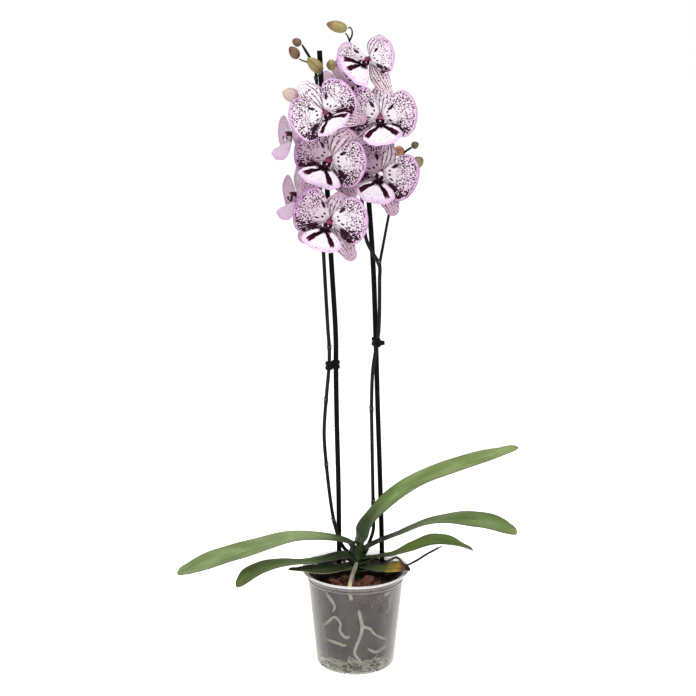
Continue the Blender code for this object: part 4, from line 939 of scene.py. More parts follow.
def pot_skin():
    """Hazy clear plastic: grey face on, whiter at the sides and lip, with streaks and water specks; painted
    highlights on the rings, painted shade in their grooves and at the foot slots.
    """
    g = Graph("pot_skin")
    x, y, z = g.place()
    turn = g.calc("ARCTAN2", x, y) / FULL_TURN
    rim = g.facing(0.42)
    streak = g.noise((turn * 60.0, z * 0.035, 2.0), 3.0)
    cloud = g.noise((x * 0.07, y * 0.07, z * 0.07), 3.0)
    near, pick, _ = g.cells((turn * 150.0, z * 0.42), 1.0)
    specks = g.ramp(near, 0.12, 0.07) * g.ramp(pick, 0.02, 0.01)
    specks = specks * g.ramp(z, 12.0, 20.0) * g.ramp(z, 96.0, 90.0)
    lip = g.ramp(z, 104.4, 106.2)
    foot = g.ramp(z + (cloud - 0.5) * 8.0, 11.0, 3.0)
    edge = g.ramp(rim, 0.62, 0.96)
    knots = g.noise((turn * 24.0 + z * 0.10, z * 0.16, 5.0), 1.5)
    tangle = g.ramp(abs(knots - 0.5), 0.060, 0.015)
    tangle = tangle * g.ramp(z + (cloud - 0.5) * 14.0, 20.0, 10.0) * g.ramp(z, 2.0, 5.0)
    # Dark marks at the foot slots: painted shade of the openings
    slot_shade = g.ramp(abs((turn * FOOT_SLOTS + SLOT_PHASE).fract() - 0.5), 0.093, 0.060) * g.ramp(z, 4.6, 3.7)
    # Bright lines on the ridges of the rings: painted highlights
    lines = g.ramp(abs(z - 99.9), 1.0, 0.5).most(g.ramp(abs(z - 103.6), 1.2, 0.6))
    # Dark lines in the grooves between the rings: painted shade
    groove_shade = g.ramp(abs(z - 101.6), 0.7, 0.2).most(g.ramp(abs(z - 105.2), 0.7, 0.2))
    side = g.ramp(rim + (streak - 0.5) * 0.1, 0.18, 0.68)
    colour = g.mix(g.ramp(cloud, 0.35, 0.65), rgb(98, 93, 92), rgb(114, 109, 107))
    colour = g.mix(side, colour, rgb(124, 121, 118))
    colour = g.mix(edge, colour, rgb(176, 174, 170))
    colour = g.mix(lip, colour, rgb(242, 239, 238))
    colour = g.mix(lines * 0.4, colour, rgb(196, 192, 190))
    colour = g.mix(groove_shade * 0.4, colour, rgb(120, 114, 114))
    colour = g.mix(foot * 0.6, colour, rgb(138, 139, 122))
    colour = g.mix(tangle * 0.55, colour, rgb(188, 187, 172))
    colour = g.mix(slot_shade * 0.9, colour, rgb(34, 32, 30))
    colour = g.mix(specks * 0.7, colour, rgb(236, 236, 234))
    alpha = 0.36 + side * 0.56 + g.ramp(streak, 0.5, 0.8) * 0.06 + lines * 0.14 + groove_shade * 0.1 + specks * 0.4
    alpha = g.ramp(lip, 0.0, 1.0, 1.0, 0.96) * alpha + lip * 0.12 + foot * 0.16 + tangle * 0.20 + slot_shade * 0.5
    return g.done(colour, 0.3, cloud, 0.2, Alpha=alpha.least(0.97), Specular_IOR_Level=0.4)


def black_skin(name, shade, dust, rough):
    """Black plastic with faint grey scuffs along it."""
    g = Graph(name)
    x, y, z = g.place()
    scuff = g.noise((x * 0.9, y * 0.9, z * 0.06), 4.0, 0.65)
    colour = g.mix(g.ramp(scuff, 0.50, 0.78) * 0.7, shade, dust)
    return g.done(colour, g.ramp(scuff, 0.3, 0.7, rough, rough + 0.2), scuff, 0.12, Specular_IOR_Level=0.08)


def stem_skin():
    """Flower stems: near-black purple, dull green where light falls, greener flower stalks."""
    g = Graph("stem_skin")
    around, run, s = g.three("mark")
    seed, stalk, _ = g.three("seed")
    patch = g.noise((around * 1.5, run * 0.03, seed * 3.0), 3.0)
    grain = g.noise((around * 14.0, run * 0.12, seed), 3.0)
    colour = g.mix(g.ramp(patch, 0.45, 0.72), rgb(11, 8, 10), rgb(28, 24, 20))
    colour = g.mix(stalk * g.ramp(s, 0.40, 1.0), colour, rgb(84, 70, 50))
    colour = g.mix(g.ramp(grain, 0.58, 0.80) * 0.3, colour, rgb(56, 50, 50))
    return g.done(colour, 0.55, grain, 0.15, Specular_IOR_Level=0.15)


def bract_skin():
    """Dried bracts at the stem nodes: greyish beige, darker at the root."""
    g = Graph("bract_skin")
    v, run, s = g.three("mark")
    seed, _, _ = g.three("seed")
    grain = g.noise((v * 9.0, run * 0.5, seed * 5.0), 3.0)
    colour = g.mix(g.ramp(s, 0.0, 0.6), rgb(34, 27, 29), rgb(92, 78, 78))
    colour = g.mix(g.ramp(grain, 0.5, 0.75) * 0.5, colour, rgb(84, 66, 60))
    return g.done(colour, 0.7, grain, 0.3)


def bud_skin(name, main, tip, root):
    """Bud: ridged sepals with seams, other colours at the tip and the stalk end."""
    g = Graph(name)
    main, tip, root = (rgb(*c) for c in (main, tip, root))
    around, _, s = g.three("mark")
    seed, _, _ = g.three("seed")
    patch = g.noise((around * 3.0, s * 2.5, seed * 6.0), 3.0)
    ridge = (around * 94.25 + (patch - 0.5) * 3.0).sin()
    seam = g.ramp(abs((around * 3.0 + seed).fract() - 0.5), 0.06, 0.015)
    colour = g.mix(g.ramp(patch, 0.35, 0.7) * 0.5, main, tip)
    colour = g.mix(g.ramp(s + (patch - 0.5) * 0.5, 0.55, 1.0), colour, tip)
    colour = g.mix(g.ramp(s + (patch - 0.5) * 0.3, 0.35, 0.02), colour, root)
    colour = g.mix(g.ramp(ridge, 0.1, 1.0) * 0.13, colour, rgb(96, 70, 50))
    colour = g.mix(seam * 0.5, colour, rgb(92, 60, 52))
    height = ridge * 0.2 + patch - seam * 1.2
    return g.done(colour, 0.5, height, 0.35, Subsurface_Weight=0.08, Subsurface_Scale=0.002)


def husk_skin():
    """Dried sheath: near-black brown with tan fibres."""
    g = Graph("husk_skin")
    v, run, _ = g.three("mark")
    fibre = g.noise((v * 7.0, run * 0.10, 3.0), 3.0)
    colour = g.mix(g.ramp(fibre, 0.52, 0.75) * 0.55, rgb(24, 18, 14), rgb(104, 82, 56))
    return g.done(colour, 0.75, fibre, 0.4)


def floor_skin():
    """White studio floor, very slightly mottled."""
    g = Graph("floor_skin")
    x, y, z = g.place()
    mottle = g.noise((x * 0.01, y * 0.01, z * 0.01), 2.0)
    colour = g.mix(mottle * 0.3, rgb(252, 252, 252), rgb(247, 247, 247))
    return g.done(colour, 0.9, Emission_Color=colour, Emission_Strength=0.75)


PETAL = petal_skin()
SEPAL = sepal_skin()
LIP = lip_skin()
THROAT = throat_skin()
COLUMN = column_skin()
BARK = bark_skin()
POT = pot_skin()
STAKE = black_skin("stake_skin", rgb(7, 7, 9), rgb(28, 28, 32), 0.55)
CLIP = black_skin("clip_skin", rgb(8, 8, 10), rgb(40, 40, 45), 0.45)
STEM = stem_skin()
BRACT = bract_skin()
HUSK = husk_skin()
# Wall and foot roots glow a little: painted light that brightens them behind the hazy wall
WALL_ROOT = root_skin("wall_root_skin", rgb(238, 236, 224), rgb(206, 204, 168), 0.44)
FOOT_ROOT = root_skin("foot_root_skin", rgb(224, 221, 204), rgb(184, 181, 154), 0.26)
AERIAL = root_skin("aerial_root_skin", rgb(158, 152, 134), rgb(122, 116, 96), 0.0,
                   (30.0, 42.0, rgb(206, 194, 140)))
# Crown: dark greens that stand partly for painted shade among the leaf bases
CROWN = leaf_skin("crown_skin", (46, 68, 24), (66, 92, 32), (40, 58, 22), [], 2.0, (0.01, 0.0))

# Leaves: two colours of the top, underside, ageing of the tip (share of the length past its start, colour),
# where that starts, then how far up and how much painted shade darkens the base; the last leaf has a paler
# edge
LEAF_COLOURS = {
    "leaf_1": ((100, 122, 72), (138, 156, 108), (68, 84, 40), [(0.0, (120, 136, 66))], 0.96, (0.20, 0.92)),
    "leaf_2": ((60, 80, 38), (88, 108, 60), (50, 66, 34), [(0.0, (104, 124, 60))], 0.95, (0.44, 0.90)),
    "leaf_3": ((100, 124, 64), (136, 158, 100), (88, 106, 56),
               [(0.0, (132, 122, 60)), (0.03, (96, 60, 36))], 0.95, (0.40, 0.88)),
    "leaf_4": ((82, 106, 56), (116, 138, 86), (72, 90, 46), [(0.0, (150, 150, 70))], 0.955, (0.48, 0.94)),
    "leaf_5": ((70, 94, 40), (96, 120, 58), (110, 122, 78),
               [(0.0, (122, 108, 54)), (0.03, (84, 50, 32))], 0.93, (0.40, 0.85)),
    "leaf_6": ((58, 78, 30), (84, 100, 40), (70, 82, 40),
               [(0.0, (150, 138, 58)), (0.12, (178, 142, 66)), (0.26, (126, 80, 44)), (0.34, (26, 17, 15))],
               0.50, (0.50, 0.75)),
    "leaf_7": ((36, 48, 20), (56, 66, 30), (70, 72, 44),
               [(0.0, (100, 82, 44)), (0.06, (34, 22, 18))], 0.88, (0.7, 0.8), (128, 134, 92)),
}
LEAF_LOOKS = {name: leaf_skin(name + "_skin", *colours) for name, colours in LEAF_COLOURS.items()}

# Buds: main colour, tip, stalk end
OLIVE, LIME, PINK = (126, 112, 62), (156, 142, 84), (198, 168, 168)
BUD_COLOURS = [
    (LIME, (132, 84, 52), (150, 146, 80)), ((140, 124, 70), (150, 134, 76), (104, 88, 50)),
    ((112, 88, 54), (104, 66, 50), (90, 64, 46)), ((112, 84, 54), (104, 56, 46), (100, 64, 50)),
    (LIME, OLIVE, (140, 130, 72)), (PINK, (206, 178, 164), (158, 120, 116)),
    ((176, 118, 72), (190, 140, 88), (96, 34, 44)), ((84, 78, 46), (70, 62, 40), (60, 50, 36)),
    ((124, 120, 70), (112, 88, 62), (92, 78, 52))]


# Pot, bark and roots

def wall_inside(z):
    """Inner radius of the pot wall at a height."""
    return POT_FOOT_RADIUS + (POT_NECK_RADIUS - POT_FOOT_RADIUS) * (z - 3.2) / 95.3 - POT_WALL


def cut(body, others):
    """Takes other bodies out of one body and removes them."""
    group = bpy.data.collections.new("cutters")
    for obj in others:
        for owner in list(obj.users_collection):
            owner.objects.unlink(obj)
        group.objects.link(obj)
    mod = body.modifiers.new("cut", "BOOLEAN")
    mod.operation = "DIFFERENCE"
    mod.operand_type = "COLLECTION"
    mod.collection = group
    mod.solver = "EXACT"
    bpy.context.view_layer.update()
    graph = bpy.context.evaluated_depsgraph_get()
    mesh = bpy.data.meshes.new_from_object(body.evaluated_get(graph))
    body.modifiers.clear()
    body.data = mesh
    for obj in others:
        bpy.data.objects.remove(obj, do_unlink=True)
    bpy.data.collections.remove(group)


def make_pot():
    """Clear pot: rounded foot, tapering wall, two rings, flared lip and foot slots."""
    w, n, f = POT_WALL, POT_NECK_RADIUS, POT_FOOT_RADIUS
    rim, top, floor = POT_RIM_RADIUS, POT_HEIGHT, POT_FLOOR
    foot = [(0, 0), (f - 6.0, 0), (f - 3.0, 0), (f - 1.7, 0.3), (f - 0.9, 0.9), (f - 0.3, 1.9), (f, 3.2)]
    wall = [(f + 3.2, 35), (f + 6.4, 67), (n, 98.5)]
    rings = [(n + 0.8, 98.8), (n + 1.1, 99.3), (n + 1.1, 100.5), (n + 0.8, 101.0), (n + 0.3, 101.3),
             (n + 0.5, 102.2), (n + 1.2, 102.5), (n + 1.5, 103.0), (n + 1.6, 104.2), (n + 1.2, 105.2)]
    lip = [(n + 1.6, 106.2), (n + 2.6, 107.0), (n + 4.6, 107.7), (rim - 0.4, 108.3), (rim, 108.7),
           (rim, top - 0.5), (rim - 0.3, top - 0.1), (rim - 0.8, top), (rim - 2.4, 109.7), (n + 2.4, 108.6),
           (n + 0.9, 107.8)]
    inside = [(n - w + 0.9, 106.6), (n - w + 0.2, 104.0), (n - w, 98.5), (f - w, 3.6), (f - w - 0.3, 2.7),
              (f - w - 0.9, floor + 0.4), (f - w - 2.6, floor), (0, floor)]
    body = turned_body(foot + wall + rings + lip + inside, 144)
    pot = piece("pot_body", [body], [POT], ["pot"], bend=38)
    half, outer, inner = 2.2, -46.5, -38.6
    corners = [(*p, z) for z in (-1.0, 3.4)
               for p in ((-half, outer), (half, outer), (half, inner), (-half, inner))]
    slots = []
    for k in range(FOOT_SLOTS):
        turn = spin(math.radians(360 / FOOT_SLOTS * k + SLOT_TURN), "Z")
        slots.append(add_object("slot", [turn @ Vector(c) * MM for c in corners], block(corners).faces))
    cut(pot, slots)


def root_line(path, buried=None):
    """Points and radii of a root that hugs the inside of the wall and dips inwards over a buried stretch."""
    rows = []
    for angle, z, r in path:
        rows.append((*round_axis(wall_inside(z) - ROOT_SINK - r, math.radians(angle), z), r))
    length = sum(math.dist(a[:3], b[:3]) for a, b in zip(rows, rows[1:]))
    out = spline(rows, max(8, int(length / 2.2)))
    reach = wall_inside(out[:, 2]) - ROOT_SINK - out[:, 3]
    if buried:
        start, end = buried
        t = np.linspace(0, 1, len(out))
        reach = reach - BURIED_DEPTH * step(t, start - 0.05, start + 0.02) * step(t, end + 0.05, end - 0.02)
    out[:, :2] *= (reach / np.hypot(out[:, 0], out[:, 1]))[:, None]
    return out


def swell(rng, rows, amount):
    """Radii of a root with slow swellings, closing to a soft tip."""
    t = np.arange(len(rows)) * 0.25
    radii = 0.9 * rows[:, 3] * (1 + ripple(rng, t, t * 0.3, amount, 0.7, 2.2))
    close = np.ones(len(rows))
    close[-3:] = (0.92, 0.75, 0.4)
    return radii * close


def foot_roots(rng):
    """Short roots crowded at the foot of the wall."""
    parts = []
    for n in range(FOOT_ROOTS):
        start, low = n * 360 / FOOT_ROOTS + rng.uniform(-4, 4), rng.uniform(5.5, 20)
        along = rng.choice((-1, 1)) * rng.uniform(14, 30)
        high = min(max(low + rng.uniform(-11, 11), 6), 24)
        radius = rng.uniform(0.8, 1.35)
        path = [(start + along * t, low + (high - low) * t + rng.uniform(-2.5, 2.5) * (0 < t < 1), radius)
                for t in (0, 0.33, 0.66, 1)]
        rows = root_line(path)
        parts.append(tube(rows, swell(rng, rows, 0.2), 9, (rng.random(), 0, 0), 1))
    return parts


def make_roots():
    """Roots on the wall; the main one comes down from the crown."""
    rng = random.Random(5)
    for name, paths in ROOTS.items():
        parts, looks = [], [WALL_ROOT, AERIAL]
        for k, path in enumerate(paths):
            rows = root_line(path, BURIED.get((name, k)))
            seed = (rng.random(), 0, 0)
            if name == "root_main" and k == 0:
                lead = spline([(*p, 2.4) for p in AERIAL_ROOT] + [tuple(rows[0])], 40)
                radii = lead[:, 3] * (1 + ripple(rng, np.arange(40) * 0.3, 0, 0.06))
                parts.append(tube(lead, radii, 16, seed, 1))
            parts.append(tube(rows, swell(rng, rows, 0.16), 12, seed, 0))
        if name == "root_foot":
            parts += foot_roots(rng)
            looks[1] = FOOT_ROOT
        piece(name + "_skin", parts, looks, [name])


def bare_root_points():
    """Points of the wall roots that no chip may cover."""
    lines = []
    for name, paths in ROOTS.items():
        for k, path in enumerate(paths):
            rows = root_line(path)[:, :3]
            start, end = BURIED.get((name, k), (2.0, 2.0))
            t = np.linspace(0, 1, len(rows))
            lines.append(rows[(t < start) | (t > end)])
    return np.vstack(lines)


def make_bark():
    """Chip fill: a core painted dark as shade, with chips strewn over its top, round its edge and against the
    wall; chips in shadow are painted dark.
    """
    rng = random.Random(11)
    low, high = (wall_inside(z) - BARK_WALL_SPACE - 1.5 for z in (8, BARK_TOP))
    edge, top = high + 3.2, BARK_TOP
    profile = [(0, 2.2), (low - 3, 2.2), (low, 6), (high - 0.4, top - 9), (edge, top - 5), (edge, top + 0.6),
               (high, top + 1.8), (0, top + 1.2)]
    # The core's seed paints it near-black: painted shade between the chips
    parts = [turned_body(profile, 48, seed=(0.3, 0.3, 0.9))]

    def strew(at, radii, turn, dark):
        """Adds one chip of a random tone of bark; dark is how much painted shade darkens it."""
        parts.append(lump(rng, at, radii, turn, (rng.random(), rng.random(), dark)))

    for x, y, z, radii, heading, tip_up, shade in BIG_CHIPS + SHADED_CHIPS:
        turn = spin(math.radians(heading), "Z") @ spin(math.radians(tip_up), "Y")
        seed = (shade, rng.uniform(0.2, 0.6), 1.0 - step(shade, 0.0, 0.2))
        parts.append(lump(rng, (x, y, z), radii, turn, seed, corners=13))
    for k in range(HEAP_CHIPS):
        reach = HEAP_RADIUS * math.sqrt((k + 0.6) / HEAP_CHIPS)
        size = rng.uniform(5.0, 8.5) if reach < 36 else rng.uniform(4.5, 6.4)
        radii = (size * rng.uniform(0.9, 1.25), size * rng.uniform(0.5, 0.8), size * rng.uniform(0.26, 0.42))
        at = round_axis(min(reach, HEAP_LIMIT), k * GOLDEN_ANGLE, top + rng.uniform(-0.5, 3.2))
        # Chips towards the left and right are painted dark: painted shade under the leaves
        dark = 0.85 * step(abs(at[0]), 14, 34) * rng.uniform(0.6, 1.0)
        turn = (spin(rng.uniform(0, 6.28), "Z") @ spin(rng.uniform(-0.6, 0.6), "X")
                @ spin(rng.uniform(-0.5, 0.5), "Y"))
        strew(at, radii, turn, dark)
    for k in range(EDGE_CHIPS):
        a = k * FULL_TURN / EDGE_CHIPS + rng.uniform(-0.05, 0.05)
        size = rng.uniform(4.0, 5.6)
        radii = (size, size * rng.uniform(0.5, 0.8), size * rng.uniform(0.4, 0.6))
        at = round_axis(EDGE_RADIUS + rng.uniform(-0.8, 0.4), a, top + rng.uniform(1.5, 5.0))
        turn = spin(a + rng.uniform(-0.3, 0.3), "Z") @ spin(rng.uniform(-0.3, 0.3), "Y")
        # Edge chips at the sides are painted dark: painted shade
        strew(at, radii, turn, 0.9 * step(abs(math.sin(a)), 0.15, 0.5) * rng.uniform(0.8, 1.0))
    for k in range(REAR_CHIPS):
        a = math.pi / 2 + k * math.pi / (REAR_CHIPS - 1) + rng.uniform(-0.03, 0.03)
        size = rng.uniform(3.4, 4.4)
        at = round_axis(REAR_RADIUS, a, top + rng.uniform(3.5, 6.5))
        # Rear chips are painted near-black: painted shade behind the crown
        strew(at, (size, 2.3, size * 0.7), spin(a + rng.uniform(-0.15, 0.15), "Z"), 0.96)
    roots = bare_root_points()
    for k in range(WALL_CHIPS):
        z, a = 8 + 86 * ((k * GOLDEN_SHARE) % 1), k * GOLDEN_ANGLE
        size = min(rng.uniform(5.0, 9.0), z - 3.0)
        thick = size * rng.uniform(0.22, 0.32)
        reach = wall_inside(z) - BARK_WALL_SPACE - 1.4
        at = np.array(round_axis(reach, a, z))
        free = np.min(np.linalg.norm(roots - at, axis=1)) - 4.4
        out = min(max(free - size * 0.55, 0), 2.6) if z > 30 else -1.2
        at[:2] *= (reach + out) / reach
        turn = (spin(a, "Z") @ spin(rng.uniform(-0.3, 0.3), "X") @ spin(rng.uniform(-1.5, 1.5), "Y")
                @ spin(math.pi / 2, "X"))
        strew(at, (size, size * rng.uniform(0.5, 0.8), thick), turn, 0)
    piece("bark_fill", parts, [BARK], ["bark"], smooth=False)


# Crown, leaves and the dried strip

def crown_wobble(angle, z):
    """How much thinner the crown is between the leaf bases and in its rings, as a share below 0."""
    return -0.12 * (0.5 + 0.5 * math.cos(2 * angle + z * 0.05)) - 0.04 * abs(math.sin(z * 0.35))


def make_crown():
    """Short stem with the swollen leaf bases round it."""
    r = CROWN_RADIUS
    profile = [(0, 84), (r - 1.4, 84), (r, 86), (r, 100), (r, 112), (r, 120), (r, 127), (r - 0.4, 130),
               (r - 1.0, 132), (r - 2.6, 135.0), (r - 5.0, 135.5), (0, 135.6)]
    body = turned_body(profile, 48, CROWN_AXIS, (0.4, 1, 0), crown_wobble)
    share, z, _ = body.marks.T
    body.marks = joined((share * 8) % 2 - 1, z, 0.5)
    piece("crown_stem", [body], [CROWN], ["crown"])


def leaf_base(spine, half):
    """Gutter-shaped base that clasps the crown and passes under the start of the blade."""
    root, start, second = (np.array(p, float) for p in (CROWN_AXIS + (0,), spine[0], spine[1]))
    away = unit(np.array((second[0] - start[0], second[1] - start[1], 0.0)))
    low = np.array((root[0], root[1], start[2] - 17.0)) + away * 1.0
    middle = np.array((root[0], root[1], start[2] - 8.5)) + away * 2.0
    far = start * 0.35 + second * 0.65 - np.array((0, 0, 0.8))
    line = spline([tuple(low), tuple(middle), tuple(start - np.array((0, 0, 1.4)) + away), tuple(far)], 30)
    tangent = unit(np.gradient(line, axis=0))
    keel = away - np.array((0, 0, 1.0))
    keel = unit(keel - tangent * (tangent @ keel)[:, None])
    wide = np.cross(tangent, keel)
    s = np.linspace(0, 1, len(line))[:, None]
    v = np.linspace(-1, 1, 21)[None]
    angle = v * np.interp(s, [0, 0.5, 1], np.radians([150, 105, 62]))
    deep = np.interp(s, [0, 0.5, 0.8, 1], [6.4, 5.4, 3.4, 1.2])
    broad = np.interp(s, [0, 0.5, 1], [6.6, 6.6, half[0] * 0.35 + half[1] * 0.65])
    grid = spread(line, keel, np.cos(angle) * deep, wide, np.sin(angle) * broad)
    return shell(grid, 1.4 - 1.0 * s, joined(v, s * 22, s * 0.05), (0.4, 0, 0))


def make_leaf(name, spine, half, roll, fold, rows=96, cols=32):
    """Leaf blade lofted along its spine, folded along the midrib, with a rounded tip."""
    rng = random.Random(name)
    line = spline([(*p, h, q) for p, h, q in zip(spine, half, roll)], rows)
    pts = line[:, :3]
    tangent = unit(np.gradient(pts, axis=0))
    across = unit(np.cross(tangent, (0, 0, 1)))
    across[across[:, 1] < 0] *= -1
    up = np.cross(tangent, across)
    up[up[:, 2] < 0] *= -1
    q = np.radians(line[:, 4])[:, None]
    side = across * np.cos(q) + up * np.sin(q)
    rise = up * np.cos(q) - across * np.sin(q)
    s = np.linspace(0, 1, rows)
    width = np.maximum(line[:, 3], 1.2) + 2.2 * step(s, 0.12, 0.0)
    blunt = half[-2] * 0.62
    near = np.clip((s - 0.90) / 0.10, 0, 1)
    tip = np.maximum(width, blunt) * np.sqrt(np.clip(1 - near ** 2.6, 0, 1)) + 0.35
    width = np.where(s > 0.90, tip, width)
    v = np.linspace(-1, 1, cols + 1)
    lift = fold * np.abs(v) ** 1.4 - 0.030 * np.exp(-(v / 0.09) ** 2)
    sway = ripple(rng, s[:, None] * 9, v[None] * 1.2, 0.6) * (v[None] ** 2) * step(s, 0.05, 0.3)[:, None]
    grid = spread(pts, side, width[:, None] * v, rise, width[:, None] * lift + sway)
    thick = LEAF_THICKNESS * (0.30 + 0.70 * (1 - np.abs(v) ** 2.5))[None]
    thick = thick * (1 - 0.6 * step(s, 0.85, 1.0))[:, None]
    blade = shell(grid, thick, joined(v[None], run_of(pts)[:, None], s[:, None]), (rng.random(), 0, 0))
    mid = rows * (cols + 1)
    top = blade.verts[:mid] - blade.verts[mid:]
    above = float(np.sum(top[:, 2])) > 0
    blade.seeds[:mid, 1], blade.seeds[mid:, 1] = (1.0, 0.0) if above else (0.0, 1.0)
    piece(name + "_blade", [blade, leaf_base(spine, half)], [LEAF_LOOKS[name]], [name])


def make_strip():
    """Dried sheath strip, narrow, twisted and ragged at its edges."""
    rng = random.Random(21)
    rows = spline(STRIP, 140)
    pts, _, u, w = frames(rows)
    v = np.linspace(-1, 1, 7)
    s = np.linspace(0, 1, len(rows))
    twist = (0.5 * np.sin(s * 9))[:, None, None]
    wide = (1.15 * (1 + ripple(rng, s * 40, 0, 0.16)) * (1 - 0.7 * step(s, 0.93, 1)))[:, None, None]
    across = u[:, None] * np.cos(twist) + w[:, None] * np.sin(twist)
    out = w[:, None] * np.cos(twist) - u[:, None] * np.sin(twist)
    grid = pts[:, None] + across * wide * v[None, :, None] + out * (0.35 * (1 - v ** 2))[None, :, None]
    marks = joined(v[None], run_of(pts)[:, None], s[:, None])
    piece("dry_strip_blade", [shell(grid, 0.7, marks, (0.2, 0, 0))], [HUSK], ["dry_strip"])


# Stakes, flower stems and clips

def make_stakes():
    """Black sticks, flat at both ends with a small bevel."""
    share, bevel = 0.08, 0.45
    for name, line in STAKES.items():
        rows = spline(line, 90)
        ends = np.vstack([rows[:1], rows[0] + (rows[1] - rows[0]) * share, rows[1:-1],
                          rows[-1] + (rows[-2] - rows[-1]) * share, rows[-1:]])
        radii = np.full(len(ends), STAKE_RADIUS)
        radii[[0, -1]] = STAKE_RADIUS - bevel
        piece(name + "_rod", [tube(ends, radii, 20)], [STAKE], [name], bend=50)


def bloom_turn(spec):
    """Rotation of a bloom: roll in its plane, nod, then turn about the vertical."""
    roll, yaw, pitch = (math.radians(a) for a in spec["turn"])
    return spin(yaw, "Z") @ spin(-pitch, "X") @ spin(-roll, "Y")


def stem_at(line, height):
    """Point of a centre line at a height."""
    rows = [Vector(p[:3]) for p in line]
    for a, b in zip(rows, rows[1:]):
        if a.z <= height <= b.z:
            return a.lerp(b, (height - a.z) / (b.z - a.z))
    return rows[-1]


def bract(at, along, out, size, seed):
    """Small scale that clasps a stem at a node."""
    along, out = unit(np.array(along)), unit(np.array(out))
    wide = np.cross(along, out)
    v = np.linspace(-1, 1, 9)
    s = np.linspace(0, 1, 10)
    angle = v[None] * (1.35 * (1 - s ** 1.5))[:, None]
    reach = SPIKE_RADIUS + 0.25 + 0.9 * (s ** 2)[:, None] + angle * 0
    grid = (np.array(at) + along * (s * size)[:, None, None]
            + out * (np.cos(angle) * reach)[..., None] + wide * (np.sin(angle) * reach)[..., None])
    return shell(grid, 0.4, joined(v[None], (s * size)[:, None], s[:, None]), (seed, 0, 0), 1)


def make_stems():
    """Each flower stem with its nodes, branch and stalks."""
    for name, line in SPIKES.items():
        rows = spline(line, 260)
        z = rows[:, 2]
        radii = SPIKE_RADIUS * (1.0 - 0.30 * np.clip((z - 470) / 220, 0, 1))
        for height, _, _ in STEM_NODES[name]:
            radii = radii + 0.45 * np.exp(-((z - height) / 2.6) ** 2)
        radii[-4:] *= (0.95, 0.85, 0.7, 0.5)
        parts = [tube(rows, radii, 16, (0.1, 0, 0))]
        for k, (height, face, size) in enumerate(STEM_NODES[name]):
            i = int(np.argmin(np.abs(z - height)))
            along = rows[i + 2, :3] - rows[i - 2, :3]
            parts.append(bract(rows[i, :3], along, (face * 0.8, -0.6, 0), size, 0.1 + 0.2 * k))
        if name == "spike_right":
            branch = spline(BRANCH_RIGHT, 90)
            parts.append(tube(branch, np.linspace(1.6, 1.15, 90), 14, (0.5, 0, 0)))
        for k, stalk in enumerate(STALKS[name]):
            fine = spline(stalk, 24)
            parts.append(tube(fine, np.linspace(1.0, 0.7, 24), 10, (0.3 + k * 0.1, 1, 0)))
        for number, spec in enumerate(BLOOMS):
            stem, height = spec["stem"]
            if stem != name:
                continue
            start = stem_at(line, height)
            back = bloom_turn(spec) @ Vector((0, 1, 0))
            end = Vector(spec["at"]) + back * (spec["size"] * 4.05 + GAP)
            middle = start.lerp(end, 0.45) + Vector((0, 0, 2.5))
            fine = spline([tuple(p) for p in (start, middle, end + back * 5, end)], 36)
            parts.append(tube(fine, np.interp(np.arange(36), [0, 20, 30, 35], [1.15, 1.15, 1.35, 1.6]), 12,
                              (0.2 + number * 0.07, 1, 0)))
        piece(name + "_stem", parts, [STEM, BRACT], [name])


def clip_barrel(at, radius, height):
    """Barrel of a clip with a groove round its middle."""
    half = [(0, 4.4), (radius - 0.4, 4.4), (radius, 4.0), (radius, 1.2), (radius - 0.3, 0.8),
            (radius - 0.8, 0.4)]
    profile = [(r, height - z) for r, z in half] + [(r, height + z) for r, z in reversed(half)]
    return turned_body(profile, 36, (at.x, at.y))


def make_clips():
    """Clips: a barrel round the stake and one round the flower stem, bridged; the right one has a tab."""
    for name, (stake, spike, height) in CLIPS.items():
        a = stem_at(spline(STAKES[stake], 8), height)
        b = stem_at(spline(SPIKES[spike], 28), height)
        parts = [clip_barrel(a, STAKE_BARREL, height), clip_barrel(b, SPIKE_BARREL, height)]
        flat = Vector((b.x - a.x, b.y - a.y, 0)).normalized()
        wide = Vector((-flat.y, flat.x, 0)) * 2.2
        a.z = b.z = 0
        parts.append(block([p + Vector((0, 0, z)) for z in (height - 3.6, height + 3.6)
                            for p in (a - wide, b - wide, b + wide, a + wide)]))
        if name == "clip_right":
            x = b.x + 3.2
            tab = ((x, -1.2, 3), (x + 5.2, -1.2, 2), (x + 5.2, 1.2, 2), (x, 1.2, 3))
            parts.append(block([(p, b.y + side, height + up * half)
                                for up in (-1, 1) for p, side, half in tab]))
        piece(name + "_body", parts, [CLIP], [name], bend=35)


# Blooms

def petal_part(side, lift, wave, seed, rng, rows=44, cols=72):
    """Broad fan petal, to the right for side +1 and to the left for -1, gently cupped."""
    fine = np.linspace(-PETAL_HALF_ANGLE, PETAL_HALF_ANGLE, cols)
    share = soft_outline(PETAL_OUTLINE, 60, 25, fine)
    reach = PETAL_LENGTH * share * (1.005 + 0.025 * np.tanh(fine / 14))
    reach = reach * (1 + ripple(rng, fine / 9, 0, 0.012, 0.6, 2.0))
    s = np.linspace(0, 1, rows)[:, None]
    r = 2.4 + (reach[None] - 2.4) * s
    a = math.radians(lift) + np.radians(fine)[None] + s * 0
    out = r / PETAL_LENGTH
    y = -1.2 - 3.0 * out ** 2 - 0.8 * np.sin(np.radians(fine * 4)[None] + wave) * out ** 3
    y = y + ripple(rng, fine[None] / 14, s * 2, 0.55, 0.7, 2.4) * s ** 4
    grid = joined(side * r * np.cos(a), y, r * np.sin(a))
    thick = BLADE_THICKNESS * (1 - 0.72 * step(s, 0.55, 1.0))
    return shell(grid, thick, joined(fine[None] / PETAL_HALF_ANGLE, r, s), (seed, 0, 0))


